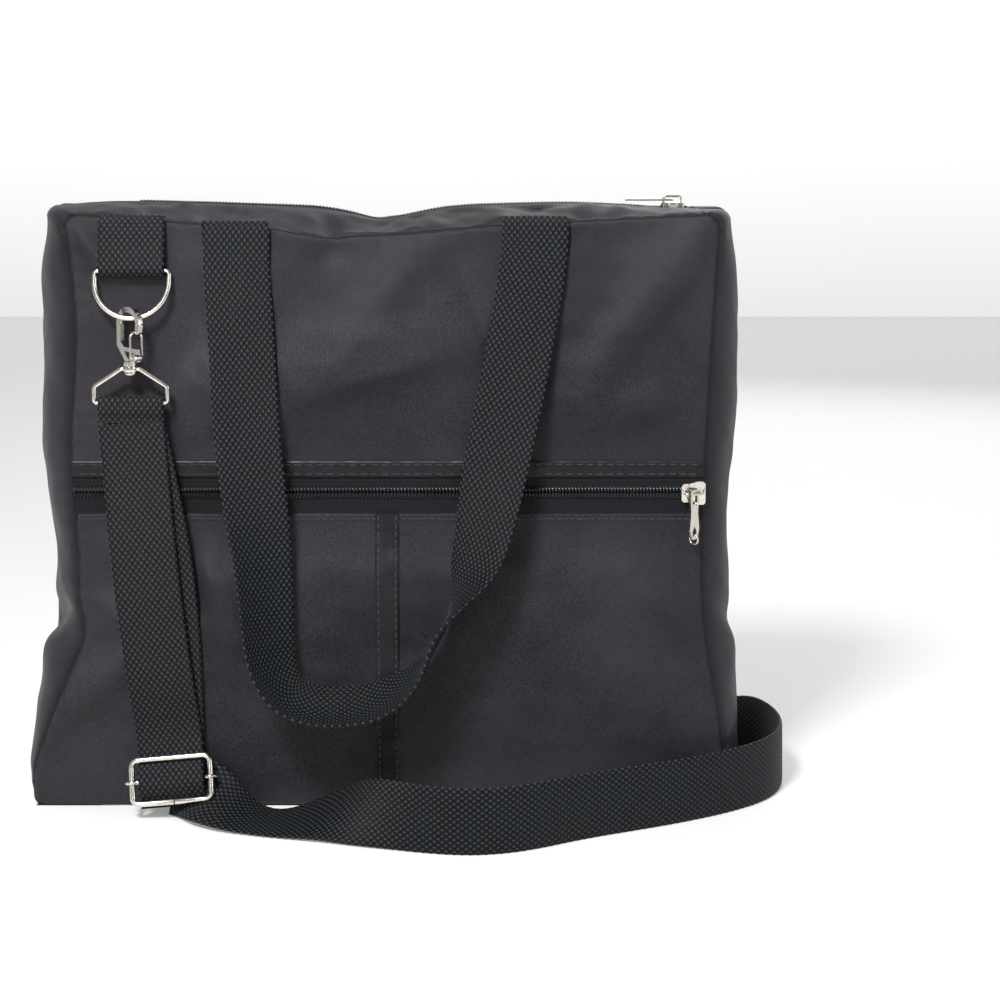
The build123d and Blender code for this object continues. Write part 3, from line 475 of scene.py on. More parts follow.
# How far the top's seams and its middle line stand over their CAD height, along the bag.
TOP_SEAM = table([
    (-152, 3.0), (-149, 2.9), (-126.5, 2.0), (-93, -0.8), (-70, -2.2), (-52, -3.5), (-36, -6.2),
    (-25.4, -7.7), (-10.7, -6.7), (7.6, -5.8), (26, -4.2), (44, -2.6), (70, -0.9), (99, 0.6),
    (145, 2.9), (152, 3.2),
])
TOP_CROWN = table([
    (-152, 1.2), (-147, 1.8), (-90, 2.3), (-61, 1.4), (-45, 0.9), (-32.4, 0.2), (-18, -2.2),
    (-9, -4.6), (-3.8, -5.6), (2, -5.0), (10.5, -3.2), (25, -0.3), (39, 1.1), (53, 1.6),
    (96, 1.9), (110, 1.1), (139, -0.8), (152, -2.4),
])
BACK_TOP = table([
    (-152, 2.5), (-100, 0.5), (-50, -2.2), (-8, -5.4), (12, -5.0), (50, -2.0), (100, 0.8), (152, 2.6),
])


def settle(x, y, z):
    """Points of the soft bag, moved from their CAD place to where the cloth has settled."""
    x, y, z = np.broadcast_arrays(x, y, z)
    back = smooth((y + SEAM_Y) / (2 * SEAM_Y))
    middle = np.cos(pi * np.clip(y, -SEAM_Y, SEAM_Y) / (2 * SEAM_Y)) ** 2
    side = smooth((np.abs(x) - 60) / (HALF_WIDTH - 60))
    left = (LEFT_SEAM(z) * (1 - back) + LEFT_BACK(z) * back) + HALF_WIDTH
    right = (RIGHT_SEAM(z) * (1 - back) + RIGHT_BACK(z) * back) - HALF_WIDTH
    high = smooth((z - 190) / (PANEL_TOP - 190))
    seam_off = np.where(y < 0, TOP_SEAM(x), BACK_TOP(x))
    # the zip's ends stay where the CAD's slider and stops are
    parked = smooth((np.abs(x) - 118) / 8) * (1 - smooth((np.abs(y) - 5.6) / 4)) * smooth((z - 270) / 6)
    off = (seam_off * (1 - middle) + TOP_CROWN(x) * middle) * (1 - parked)
    return np.stack([x + np.where(x < 0, left, right) * side, y, z + off * high], -1)


def puckers(along, distance, seed):
    """Small gathers along a sewn seam."""
    beat = np.sin(2 * pi * along / 10.5 + 2.2 * ripple(along, 0 * along, seed, 45.0))
    return 0.34 * beat * np.exp(-distance / 5.0) * smooth(distance / 1.5)


def folds(x, z, rows):
    """Sum of ridges given as start, end, width, height and a flatter lower flank."""
    return sum(ridge(x, z, *row) for row in rows)


UPPER_FOLDS = [
    ((-46, 196), (44, 226), 30, 3.6, 0.42),
    ((92, 196), (148, 268), 15, 3.0, 0.6),
    ((-148, 272), (-122, 236), 7, 1.5, 0.9),
    ((-98, 226), (-66, 184), 13, 1.9, 0.8),
    ((-143, 230), (-124, 222), 7, 1.3, 0.6),
    ((104, 186), (140, 196), 14, 1.8, 0.6),
    ((20, 268), (-8, 236), 16, 1.6, 0.8),
    ((-27, 276), (-25, 262), 6.0, -0.7),
]
POCKET_FOLDS = [
    ((-140, 88), (-118, 104), 9, 2.2, 0.7),
    ((-150, 40), (-112, 92), 12, 2.6, 0.8),
    ((-134, 124), (-118, 98), 8, 1.6, 0.8),
    ((-84, 110), (-66, 70), 12, 2.0, 0.9),
    ((60, 96), (128, 46), 22, 2.4, 0.7),
    ((120, 110), (146, 84), 10, 1.8, 0.8),
    ((-60, 30), (60, 24), 14, -1.4),
]
BACK_FOLDS = [
    ((-140, 262), (-88, 190), 14, 2.4, 0.7),
    ((88, 200), (142, 264), 14, 2.2, 0.7),
    ((-50, 150), (70, 172), 34, 2.2, 0.6),
    ((-138, 30), (-80, 84), 16, 2.0, 0.8),
    ((90, 80), (140, 36), 16, 2.0, 0.8),
]


def front_swell(x, z):
    """How far the front cloth stands out past its CAD face: pillows, folds from the corners, slack."""
    inside = np.abs(x)
    wide = smooth((149 - inside) / 34)
    upper = smooth((z - 167) / 24) * smooth((274 - z) / 24)
    lower = smooth((z + 2) / 36) * smooth((136 - z) / 30)
    swell = 1.6 * upper * wide + 4.2 * lower * wide
    fold = 2.2 * folds(x, z, UPPER_FOLDS)
    hardware = 1 - 0.9 * smooth((34 - np.hypot(x + 115, z - 226)) / 14)
    swell = swell + fold * smooth((z - 165) / 14) * smooth((276 - z) / 8) * smooth((151 - inside) / 8) * hardware
    fold = 2.0 * folds(x, z, POCKET_FOLDS)
    swell = swell + fold * smooth(z / 14) * smooth((137 - z) / 12) * smooth((160 - inside) / 12)
    loose = 0.75 * ripple(x, z, 11, 52.0) + 0.28 * ripple(x, z, 12, 19.0)
    swell = swell + loose * (0.25 * wide + 0.75 * (upper + lower) * wide)
    # room for the strap's slider and its sewn end over their travel, and for the snap hook
    behind_slider = bell(x + 98, 24) * smooth((z - 30) / 40)
    swell = np.minimum(swell, 9.0 - 4.6 * behind_slider)
    strap_top = smooth((28 - np.abs(x + 109)) / 13) * smooth((26 - np.abs(z - 112)) / 12)
    swell = np.where(swell > 0, swell * (1 - 0.97 * strap_top), swell)
    return swell * (1 - 0.80 * smooth((40 - np.hypot(x + 115, z - 222)) / 22))


def back_swell(x, z):
    """How far the back cloth stands out, less behind the rear snap hook."""
    wide = smooth((149 - np.abs(x)) / 36)
    tall = smooth(z / 40) * smooth((274 - z) / 34)
    swell = (2.6 + 0.9 * ripple(x, z, 21, 60.0) + 0.3 * ripple(x, z, 22, 20.0)) * wide * tall
    swell = swell + folds(x, z, BACK_FOLDS) * tall * smooth((152 - np.abs(x)) / 10)
    return swell * (1 - 0.88 * smooth((52 - np.hypot(x - 115, z - 212)) / 26))


ROLL, ROLL_DEPTH = 3.0, 2.9  # of the cloth's turn into a seam


def edge_gap(x, z):
    """Distance inside the panel's rounded outline."""
    gap = np.minimum(HALF_WIDTH - np.abs(x), np.minimum(PANEL_TOP - z, z))
    for radius, dz in ((TOP_RADIUS, z - (PANEL_TOP - TOP_RADIUS)), (FOOT_RADIUS, FOOT_RADIUS - z)):
        dx = np.abs(x) - (HALF_WIDTH - radius)
        gap = np.where((dx > 0) & (dz > 0), radius - np.hypot(dx, dz), gap)
    return np.maximum(gap, 0)


def rolled(gap, roll=ROLL, depth=ROLL_DEPTH):
    """How far cloth falls away towards a seam."""
    near = np.clip(1 - gap / roll, 0, 1)
    return depth * (1 - np.sqrt(1 - near**2 * ROUND))


NEAR = np.array([0, 0.12, 0.35, 0.7, 1.1, 1.6, 2.2, 3.0, 4.2])  # rows of points beside a seam


def steps(low, high, step, near_low=True, near_high=True):
    """Places from low to high, closer together at sewn edges."""
    first = low + NEAR if near_low else np.array([low])
    last = high - NEAR[::-1] if near_high else np.array([high])
    count = max(2, int((last[0] - first[-1]) / step) + 1)
    return np.concatenate([first[:-1], np.linspace(first[-1], last[0], count), last[1:]])


def panel_points(z_low, z_high, face, swell, hem_low=0.0, hem_high=0.0):
    """Outer surface of one panel piece, in the CAD's outline and settled. face is -1 front, 1 back."""
    z = steps(z_low, z_high, 1.7)
    half = np.full(len(z), HALF_WIDTH)
    for radius, past in ((TOP_RADIUS, z - (PANEL_TOP - TOP_RADIUS)), (FOOT_RADIUS, FOOT_RADIUS - z)):
        half -= radius - np.sqrt(np.maximum(radius**2 - np.clip(past, 0, radius) ** 2, 0))
    near, middle_columns = NEAR / HALF_WIDTH, 176
    middle = np.linspace(-1 + near[-1], 1 - near[-1], middle_columns)
    across = np.concatenate([-1 + near[:-1], middle, (1 - near[:-1])[::-1]])
    x = half[:, None] * across[None, :]
    zz = np.repeat(z[:, None], len(across), 1)
    out = swell(x, zz)
    out = out + puckers(zz, HALF_WIDTH - np.abs(x), 31) + puckers(x, PANEL_TOP - zz, 32) + puckers(x, zz, 33)
    fall = rolled(edge_gap(x, zz))
    if hem_low:
        fall = np.maximum(fall, rolled(zz - z_low, 1.0, hem_low))
    if hem_high:
        fall = np.maximum(fall, rolled(z_high - zz, 1.0, hem_high))
    points = settle(x, face * SEAM_Y, zz)
    points[..., 1] = face * (-FRONT + out - fall)
    return points, np.stack([x, zz], -1)


def make_panel(name, z_low, z_high, face, swell, node, **hems):
    points, uv = panel_points(z_low, z_high, face, swell, **hems)
    piece = sheet(name, points, uv, CLOTH_THICKNESS, face, CLOTH, "body_cloth")
    paint_seam_shade(piece, edge_gap(uv[..., 0], uv[..., 1]), 1.3)
    sew(piece, node)


make_panel("cloth_front_upper", UPPER_FOOT, PANEL_TOP, -1, front_swell, "front_upper_panel", hem_low=0.7)
make_panel("cloth_pocket_front", 0.0, POCKET_TOP, -1, front_swell, "pocket_panel", hem_high=0.8)
make_panel("cloth_back", 0.0, PANEL_TOP, 1, back_swell, "back_panel")


CROWN_RADIUS = 154.6


def crown_at(y):
    """Height of the top across the bag."""
    return PANEL_TOP + CROWN - y * y / (2 * CROWN_RADIUS)


def band_profile(y):
    """Fullness of a gusset from seam to seam, 0 to 1."""
    share = np.clip(np.abs(y) / SEAM_Y, 0, 1)
    return np.maximum(1 - share**2.3, 0) ** 0.72


END_LOW, GUSSET_HIGH = 258.05, 258.0  # the stiff top end starts a hair over the gusset
SIDE_FOLDS = [((96, -34), (74, 6), 7, -5.0), ((62, -30), (88, -4), 9, 2.4)]


def gusset_rows(y, groove, full, puff):
    """Stations of a side gusset from the floor up, with their places along it."""
    rows, places = [], []
    for z in steps(0.6, GUSSET_HIGH, 1.9, True, False):
        x = HALF_WIDTH - groove + puff(np.full(len(y), z)) * full
        foot = rolled(z, 5.0, 3.0)
        rows.append([x - foot, y, np.full(len(y), z)])
        places.append(z)
    return rows, places


def top_end_rows(y, groove, full, puff):
    """Stations of the stiff upper end, up the side, over the shoulder and in to the zip's end."""
    rows, places = [], []
    corner = 8.0 - 3.0 * full
    top = crown_at(y) - groove
    shoulder = top - corner
    for share in np.linspace(0, 1, 8):
        z = END_LOW + (shoulder - END_LOW) * share
        rows.append([HALF_WIDTH - groove + puff(z) * full, y, z])
        places.append(END_LOW + 9 * share)
    edge = HALF_WIDTH - groove + puff(shoulder) * full
    for angle in np.linspace(0, pi / 2, 15)[1:]:
        rows.append([edge - corner * (1 - cos(angle)), y, shoulder + corner * sin(angle)])
        places.append(places[-1] + 1.2)
    inner = edge - corner
    for share in np.linspace(0, 1, 7)[1:]:
        rows.append([inner + (SLOT_END - inner) * share, y, top])
        places.append(places[-1] + 1.3)
    return rows, places


def side_band(sign, stations, folded):
    """Outer surface of a side's gusset or top end, its uv and each point's distance from the seam."""
    y = steps(-SEAM_Y + 0.4, SEAM_Y - 0.4, 1.9)
    seam_gap = SEAM_Y - np.abs(y)
    full = band_profile(y)
    groove = SINK * bell(seam_gap, SINK_WIDTH)
    rows, places = stations(y, groove, full, LEFT_PUFF if sign < 0 else RIGHT_PUFF)
    x, across, z = np.array(rows).transpose(1, 0, 2)
    settled = settle(sign * x, across, z)
    along = np.array(places)[:, None] + 0 * y
    wave = 0.4 * ripple(along, across, 41 + sign, 48.0) + 0.3 * ripple(along, across, 44 + sign, 17.0)
    wrinkle = wave * full * (1 - 0.75 * smooth((along - 225) / 33))
    if folded:
        tuck = folds(along, across, SIDE_FOLDS) * (1 if sign < 0 else 0.5)
        pleats = [((20, 3), (150, -4), 8, -4.5 if sign > 0 else -3.0), ((60, 17), (160, 14), 7, 1.6)]
        wrinkle = wrinkle + tuck * full**0.5 + folds(along, across, pleats) * full
    wrinkle = wrinkle + puckers(along, np.repeat((seam_gap + 0.2)[None], len(along), 0), 51 + sign) * 1.2
    normals = grid_normals(settled)
    normals = normals * np.where((normals[..., :1] * sign > 0) | (normals[..., 2:] > 0.5), 1, -1)
    out = settled + normals * wrinkle[..., None]
    girth = np.linalg.norm(np.diff(out, axis=1, prepend=out[:, :1]), axis=2).mean(0).cumsum()
    return out, np.stack([along, girth[None] + 0 * along], -1), seam_gap[None] + 0 * along


for side_name, sign in (("left", -1), ("right", 1)):
    for kind, stations in (("gusset", gusset_rows), ("top_end", top_end_rows)):
        points, uv, gap = side_band(sign, stations, kind == "gusset")
        band = sheet(f"cloth_{kind}_{side_name}", points, uv, SIDE_THICKNESS, -sign, CLOTH, "body_cloth")
        paint_seam_shade(band, gap - 0.3)
        sew(band, f"{kind}_{side_name}")


# ---------------------------------------------------------------- bottom, backing and board
def plate(name, x, y_low, y_high, z, thickness, side, material, slot, node, wobble=0.0):
    """Flat piece at the foot of the bag, from -x to x."""
    xx, yy = np.meshgrid(np.linspace(-x, x, 120), steps(y_low, y_high, 2.5))
    points = settle(xx, yy, z + wobble * ripple(xx, yy, 61, 50.0))
    sew(sheet(name, points, np.stack([xx, yy], -1), thickness, side, material, slot), node)


plate("cloth_bottom", 152.0, -38.6, 38.6, 0.0, SIDE_THICKNESS, -1, CLOTH, "body_cloth", "gusset_bottom", 0.05)
plate("board_stiffener", 147.0, -33.6, 37.0, 3.6, 2.3, 1, BOARD, "board", "base_board")

xx, zz = np.meshgrid(np.linspace(-148.5, 148.5, 140), steps(1.4, 274.0, 4.0))
back_of_pocket = settle(xx, BACKING_Y, zz)
back_of_pocket[..., 1] += 0.35 * ripple(xx, zz, 62, 40.0) * smooth((np.abs(zz - 150) - 14) / 20)
backing = sheet(
    "cloth_pocket_back", back_of_pocket, np.stack([xx, zz], -1), CLOTH_THICKNESS, -1, CLOTH, "body_cloth"
)
sew(backing, "pocket_backing")


# ---------------------------------------------------------------- top flaps, main zip
def side_of(face):
    return "front" if face < 0 else "back"


def flap_weights(x, y):
    """Weight of a point of the top for its flap, 0 at the seam and at the bag's ends."""
    return smooth((ZIP_SPLIT - np.abs(x)) / 26) * smooth((SEAM_Y - np.abs(y)) / 6)


def make_flap(face):
    """One half of the top's cloth from its seam to the hem beside the zip."""
    hem_rows = [7.4, 6.8, 6.35, 6.08, SLOT_SIDE]
    y = np.concatenate([SEAM_Y - 0.1 - NEAR, np.linspace(34.2, 8.2, 16), hem_rows])
    xx, yy = np.meshgrid(np.linspace(-SLOT_END, SLOT_END, 172), y)
    seam_gap = SEAM_Y - yy
    zz = crown_at(yy) - SINK * bell(seam_gap, SINK_WIDTH) - rolled(yy - SLOT_SIDE, 1.0, 0.7)
    zz = zz - 0.35 * bell(yy - 8.9, 0.8)
    loose = (1.1 * ripple(xx, yy, 71 + face, 36.0) + 0.4 * ripple(xx, yy, 73 + face, 14.0)) * smooth((yy - 9) / 6)
    loose = loose * smooth((SLOT_END - np.abs(xx)) / 24)
    pinch = -2.2 * bell(xx + 25, 5.0) * smooth((yy - 12) / 14) if face < 0 else 0.0
    zz = zz + (loose + pinch) * smooth(seam_gap / 5) + 1.3 * puckers(xx, seam_gap, 75 + face)
    name, uv = side_of(face), np.stack([xx, face * yy], -1)
    points = settle(xx, face * yy, zz)
    piece = sheet("cloth_top_" + name, points, uv, 1.0, face, CLOTH, "body_cloth")
    paint_seam_shade(piece, seam_gap)
    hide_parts("top_flap_" + name)
    bend(piece, "bag", "flap_" + name, doubled(flap_weights(xx, yy)))


TAPE_THICKNESS = 0.55


def tape_sheet(name, x, y, surface, side):
    """Zip tape between places along the zip and across it, on a surface of (along, across, height)."""
    xx, yy = np.meshgrid(x, y)
    piece = sheet(name, surface(xx, yy, 0.0), np.stack([xx, yy], -1), TAPE_THICKNESS, side, TAPE, "zip_tape")
    return piece, xx, yy


def joined(parts):
    """One mesh's points, quads and uv from those of several parts."""
    verts, quads, uv, start = [], [], [], 0
    for v, q, t in parts:
        verts.append(v)
        quads.append(q + start)
        uv.append(t)
        start += len(v)
    return np.concatenate(verts), np.concatenate(quads), np.concatenate(uv)


def tubes(path, radius, sides=6):
    """Closed round rods along many equal-length paths: (many, n, 3) points, (many, n) radii."""
    along = unit(np.gradient(path, axis=1) + 1e-12)
    lean = np.where(np.abs(along[..., 2:]) > 0.9, np.array([1.0, 0, 0]), np.array([0, 0, 1.0]))
    first = unit(np.cross(along, lean))
    second = np.cross(along, first)
    turn = np.linspace(0, 2 * pi, sides, endpoint=False)
    spoke = np.cos(turn)[:, None] * first[:, :, None] + np.sin(turn)[:, None] * second[:, :, None]
    ring = path[:, :, None] + radius[..., None, None] * spoke
    many, n = path.shape[:2]
    index = np.arange(many * n * sides).reshape(many, n, sides)
    a, b = index[:, :-1], index[:, 1:]
    quads = [np.stack([a, b, np.roll(b, -1, 2), np.roll(a, -1, 2)], -1).reshape(-1, 4)]
    for end, flip in ((0, False), (-1, True)):
        for k in range(1, sides - 2, 2):
            cap = index[:, end, [0, k, k + 1, k + 2]]
            quads.append(cap[:, ::-1] if flip else cap)
    length = np.cumsum(np.linalg.norm(np.diff(path, axis=1, prepend=path[:, :1]), axis=2), axis=1)
    uv = np.stack(np.broadcast_arrays(turn * 0.5, length[..., None]), -1)
    return ring.reshape(-1, 3), np.concatenate(quads), uv.reshape(-1, 2)


COIL_PITCH = 1.6
TOOTH_REACH = np.array([2.25, 1.95, 1.2, 0.4, 0.0, 0.4, 1.2, 1.95, 2.25])
TOOTH_HEIGHT = np.array([0.5, 1.35, 1.75, 1.62, 1.05, 0.55, 0.4, 0.45, 0.5])
TOOTH_RADIUS = np.array([0.34, 0.36, 0.4, 0.46, 0.52, 0.46, 0.4, 0.36, 0.34])


def coil(start, end, out, surface):
    """Nylon teeth along a line: each is a flattened loop that comes out of the tape towards the middle and back."""
    count = int(abs(end - start) / COIL_PITCH)
    centre = start + (np.arange(count) + 0.5) * (end - start) / count
    drift = (np.linspace(0, 1, 9) - 0.5) * COIL_PITCH * 0.9
    a = centre[:, None] + drift[None]
    path = surface(a, out * (0.45 + TOOTH_REACH)[None] + 0 * a, TOOTH_HEIGHT[None] + 0 * a)
    return tubes(path, TOOTH_RADIUS[None] + 0 * a)


def top_surface(a, across, height):
    """Point on the main zip: a along it, across it, height over its tape."""
    return settle(a, across, crown_at(across) - MAIN_ZIP_SINK + height)


for face in (-1, 1):
    make_flap(face)
    name = side_of(face)
    across = face * np.array([0.45, 0.7, 3.2, 5.0, 8.0, 11.0, 13.0])
    along = np.linspace(-ZIP_SPLIT, ZIP_SPLIT, 140)
    strip, xx, yy = tape_sheet("tape_main_" + name, along, across, top_surface, face)
    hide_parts("main_zip_tape_" + name)
    bend(strip, "bag", "flap_" + name, doubled(flap_weights(xx, yy)))
    teeth, quads, uv = coil(0.1 - ZIP_SPLIT, ZIP_SPLIT - 0.1, face, top_surface)
    chain = add_mesh("coil_main_" + name, teeth, quads, uv, COIL, "zip_coil")
    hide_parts("main_zip_chain_" + name)
    bend(chain, "bag", "flap_" + name, flap_weights(teeth[:, 0], 3.0 * face))

for label, sign in (("left", -1), ("right", 1)):
    inner, outer = sorted((sign * (ZIP_SPLIT + 0.1), sign * 147.5))
    parts = []
    for face in (-1, 1):
        xx, yy = np.meshgrid(np.linspace(inner, outer, 16), face * np.linspace(0.45, 12.8, 12))
        verts, quads = shell(top_surface(xx, yy, 0.0), TAPE_THICKNESS, face)
        parts.append((verts, quads, np.concatenate([np.stack([xx, yy], -1).reshape(-1, 2)] * 2)))
    strip = add_mesh("tape_main_end_" + label, *joined(parts), TAPE, "zip_tape")
    parts = [coil(sign * (ZIP_SPLIT + 0.1), sign * 141.7, face, top_surface) for face in (-1, 1)]
    chain = add_mesh("coil_main_end_" + label, *joined(parts), COIL, "zip_coil")
    for piece, node in ((strip, "main_zip_tape_ends"), (chain, "main_zip_chain_ends")):
        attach(piece, "bag")
        if label == "left":
            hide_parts(node)


# ---------------------------------------------------------------- pocket zip, trims
def front_surface(a, across, height):
    """Point on the pocket's zip: a along it, across it from its middle, height in front of its tape."""
    return settle(a, POCKET_ZIP_Y - height, POCKET_ZIP_Z + across)


for name, way in (("lower", -1), ("upper", 1)):
    across = way * np.array([0.45, 0.75, 1.2, 3.2, 5.0, 7.5, 10.0, 12.9])
    strip, _, _ = tape_sheet("tape_pocket_" + name, np.linspace(-151.9, 151.9, 170), across, front_surface, way)
    sew(strip, "pocket_zip_tape_" + name)
    chain = add_mesh("coil_pocket_" + name, *coil(-151.4, 151.4, way, front_surface), COIL, "zip_coil")
    sew(chain, "pocket_zip_chain_" + name)


def front_slack(x, z):
    """How far the front cloth stands out, with the gathers of its side and foot seams."""
    return front_swell(x, z) + puckers(z, HALF_WIDTH - np.abs(x), 31) + puckers(x, z, 33)


TRIM_LIFT, TRIM_THICKNESS = 0.85, 0.75


def band_over(name, a, b, across_is_x, node, crumple):
    """Vinyl binding sewn over the cloth: its edges roll in, its rows of stitches pull it down."""
    aa, bb = np.meshgrid(a, b)
    x, z = (bb, aa) if across_is_x else (aa, bb)
    low, high = b[0], b[-1]
    edge = np.minimum(bb - low, high - bb)
    dent = 0.28 * (bell(bb - low - 1.5, 0.55) + bell(high - bb - 1.5, 0.55))
    pull = dent * (0.65 + 0.35 * np.cos(2 * pi * aa / 5.0))
    creases = crumple * (0.55 * ripple(aa, bb, 81, 9.0) + 0.3 * ripple(aa, bb, 82, 23.0))
    out = TRIM_LIFT - rolled(edge, 0.6, 0.45) - pull + creases
    cloth_out = front_slack(x, z) - (rolled(z) if across_is_x else 0.0)
    points = settle(x, -SEAM_Y, z)
    points[..., 1] = FRONT - cloth_out - out
    side = 1 if across_is_x else -1
    sew(sheet(name, points, np.stack([aa, bb], -1), TRIM_THICKNESS, side, VINYL, "vinyl_trim"), node)


x, z = np.linspace(-151.7, 151.7, 420), 157.1 + np.linspace(0, 7.5, 17)
band_over("vinyl_zip_trim", x, z, False, "zip_trim", 0.22)
x, z = -4.5 + np.linspace(0, 11, 19), np.linspace(0.3, POCKET_TOP, 210)
band_over("vinyl_centre_trim", z, x, True, "centre_trim", 0.16)


STITCH_LIFT = np.array([-0.45, 0.05, 0.22, 0.26, 0.22, 0.05, -0.45])  # its ends dive into the cloth
STITCH_RADIUS = 0.36 * np.array([0.55, 0.95, 1.0, 1.0, 1.0, 0.95, 0.55])


def stitch_row(places, headings, length):
    """Thread stitches of one length lying on the front."""
    share = np.linspace(-0.5, 0.5, 7)
    path = places[:, None] + headings[:, None] * (share * length)[None, :, None]
    path = path + np.array([0.0, -1.0, 0.0]) * STITCH_LIFT[None, :, None]
    return tubes(path, STITCH_RADIUS[None] + 0 * path[..., 0])


def front_place(x, z, lift):
    points = settle(x, -SEAM_Y, z)
    points[..., 1] = FRONT - (front_slack(x, z) + lift)
    return points


def seam_on_front(x0, z0, x1, z1, pitch, length, lift):
    """Stitches of one length and pitch from x0, z0 to x1, z1."""
    count = max(2, int(np.hypot(x1 - x0, z1 - z0) / pitch))
    share = (np.arange(count) + 0.5) / count
    x, z = x0 + (x1 - x0) * share, z0 + (z1 - z0) * share
    middle = front_place(x, z, lift)
    step = 0.1 / max(abs(x1 - x0), abs(z1 - z0))
    heading = unit(front_place(x + (x1 - x0) * step, z + (z1 - z0) * step, lift) - middle)
    return stitch_row(middle, heading, length)


rows_of_thread = [
    seam_on_front(-149, 158.6, 149, 158.6, 5.0, 3.7, 0.62),
    seam_on_front(-149, 163.1, 149, 163.1, 5.0, 3.7, 0.62),
    seam_on_front(-3.0, 2, -3.0, 139.2, 3.6, 2.7, 0.62),
    seam_on_front(5.0, 2, 5.0, 139.2, 3.6, 2.7, 0.62),
    seam_on_front(-149, 137.4, 149, 137.4, 3.3, 2.5, 0.02),
]
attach(add_mesh("thread_front", *joined(rows_of_thread), THREAD, "body_cloth"), "bag")


# ---------------------------------------------------------------- webbing
ACROSS, ALONG = 44, 0.875  # columns of points, and the spacing of its rows
KNOTS_ACROSS, KNOT_LENGTH = 11, 3.5
WEAVE, FOLD_WEAVE = 0.27, 0.13  # height of a yarn crossing, and in a tight fold


def web(name, path, weave=WEAVE):
    """Webbing along rows of x, y, z, width direction and, if given, cupping angle, with yarns on both faces."""
    rows = spline(path, ALONG)
    centre = rows[:, :3]
    tangent = unit(np.gradient(centre, axis=0))
    wide = rows[:, 3:6]
    wide = unit(wide - (wide * tangent).sum(1, keepdims=True) * tangent)
    out = np.cross(wide, tangent)
    u = np.linspace(-1, 1, ACROSS + 1)
    half = WEB / 2 * np.sqrt(np.sqrt(np.maximum(1 - u**8, 0.004)))
    length = np.r_[0, np.cumsum(np.linalg.norm(np.diff(centre, axis=0), axis=1))]
    uu, vv = np.meshgrid(u * WEB_WIDTH / 2, length)
    knots = np.cos(2 * pi * uu / (WEB_WIDTH / KNOTS_ACROSS)) * np.cos(2 * pi * vv / KNOT_LENGTH) * weave
    edge = bell(WEB_WIDTH / 2 - np.abs(uu), 0.8)
    selvedge = 0.10 * np.cos(4 * pi * vv / KNOT_LENGTH) * edge * np.sign(u)[None]
    # a cupped band bends round its own length; a flat one is nearly flat, so that the angle can divide
    bow = (rows[:, 6:7] if rows.shape[1] > 6 else np.zeros((len(rows), 1))) + 1e-4
    angle = bow * u[None, :]
    spread = np.sin(angle) / bow * WEB_WIDTH / 2
    sag = (1 - np.cos(angle)) / bow * WEB_WIDTH / 2
    middle = centre[:, None] + wide[:, None] * spread[..., None] + out[:, None] * sag[..., None]
    normal = -wide[:, None] * np.sin(angle)[..., None] + out[:, None] * np.cos(angle)[..., None]
    side = wide[:, None] * selvedge[..., None]
    upper = middle + normal * (half[None] + knots)[..., None] + side
    lower = middle - normal * (half[None] - knots * 0.9)[..., None] + side
    verts = np.concatenate([upper.reshape(-1, 3), lower.reshape(-1, 3)])
    quads = slab_quads(*uu.shape)
    a, b, c = verts[quads[:, 0]], verts[quads[:, 1]], verts[quads[:, 2]]
    if (np.cross(b - a, c - a) * (a - verts.mean(0))).sum() < 0:
        quads = quads[:, ::-1]
    uv = np.stack([uu, vv], -1).reshape(-1, 2)
    return add_mesh(name, verts, quads, np.concatenate([uv, uv]), WEBBING, "webbing"), verts


HANDLE_Y, HANDLE_LEAN = 42.1, 0.0612  # back of a handle at the panel's top, and how it leaves the panel going down
HANDLE_HALF = 0.9  # from its back to its middle


def handle_path(stations):
    """Rows for web() from stations of a hanging handle: x, z, how far its outer edge leans forward in degrees,
    how far it stands off its straight hang, and its cupping angle."""
    x, z, angle, forward, bow = (np.array(c, float) for c in zip(*((*row, 0.0, 0.0)[:5] for row in stations)))
    y = -(HANDLE_Y + (PANEL_TOP - z) * HANDLE_LEAN + HANDLE_HALF + forward)
    run = unit(np.stack([np.gradient(x), 0 * x, np.gradient(z)], -1))
    outer = np.stack([run[:, 2], 0 * x, -run[:, 0]], -1)
    a = np.radians(angle)[:, None]
    wide = outer * np.cos(a) + np.array([0, -1.0, 0]) * np.sin(a)
    return np.column_stack([x, y, z, wide, bow])


FRONT_HANDLE = [
    (-67.0, 276.6, 0, -3.6), (-67.0, 274.4, 0, -0.9), (-67.0, 268.0, 0), (-67.0, 258.0, 0), (-66.0, 240.0, 3, 0.4),
    (-64.0, 205.0, 6, 1.0, 0.10), (-62.2, 176.0, 8, 1.2, 0.15), (-59.0, 146.0, 18, 2.0, 0.2),
    (-56.3, 121.0, 33, 3.8, 0.3), (-54.6, 90.0, 44, 6.0, 0.4), (-52.2, 70.0, 54, 8.0, 0.55),
    (-44.5, 56.5, 62, 8.6, 0.8), (-34.3, 51.7, 63, 8.4, 0.9), (-20.0, 50.8, 65, 8.0, 0.8),
    (-5.0, 54.0, 68, 8.0, 0.55), (9.1, 62.5, 76, 8.0, 0.3), (18.6, 73.4, 88, 8.0, 0.15),
    (26.2, 88.0, 98, 8.0, 0.05), (33.8, 102.5, 82, 7.2, 0.0), (42.0, 121.0, 45, 5.0, 0.0),
    (47.0, 139.7, 28, 3.4, 0.05), (50.5, 158.0, 14, 2.2, 0.1), (55.2, 181.0, 7, 1.4, 0.1),
    (60.0, 205.0, 4, 1.0, 0.08), (64.8, 232.0, 2, 0.5), (69.0, 260.0, 0), (69.7, 270.0, 0), (69.8, 275.6, 0, -0.6),
    (69.8, 278.2, 0, -3.4),
]
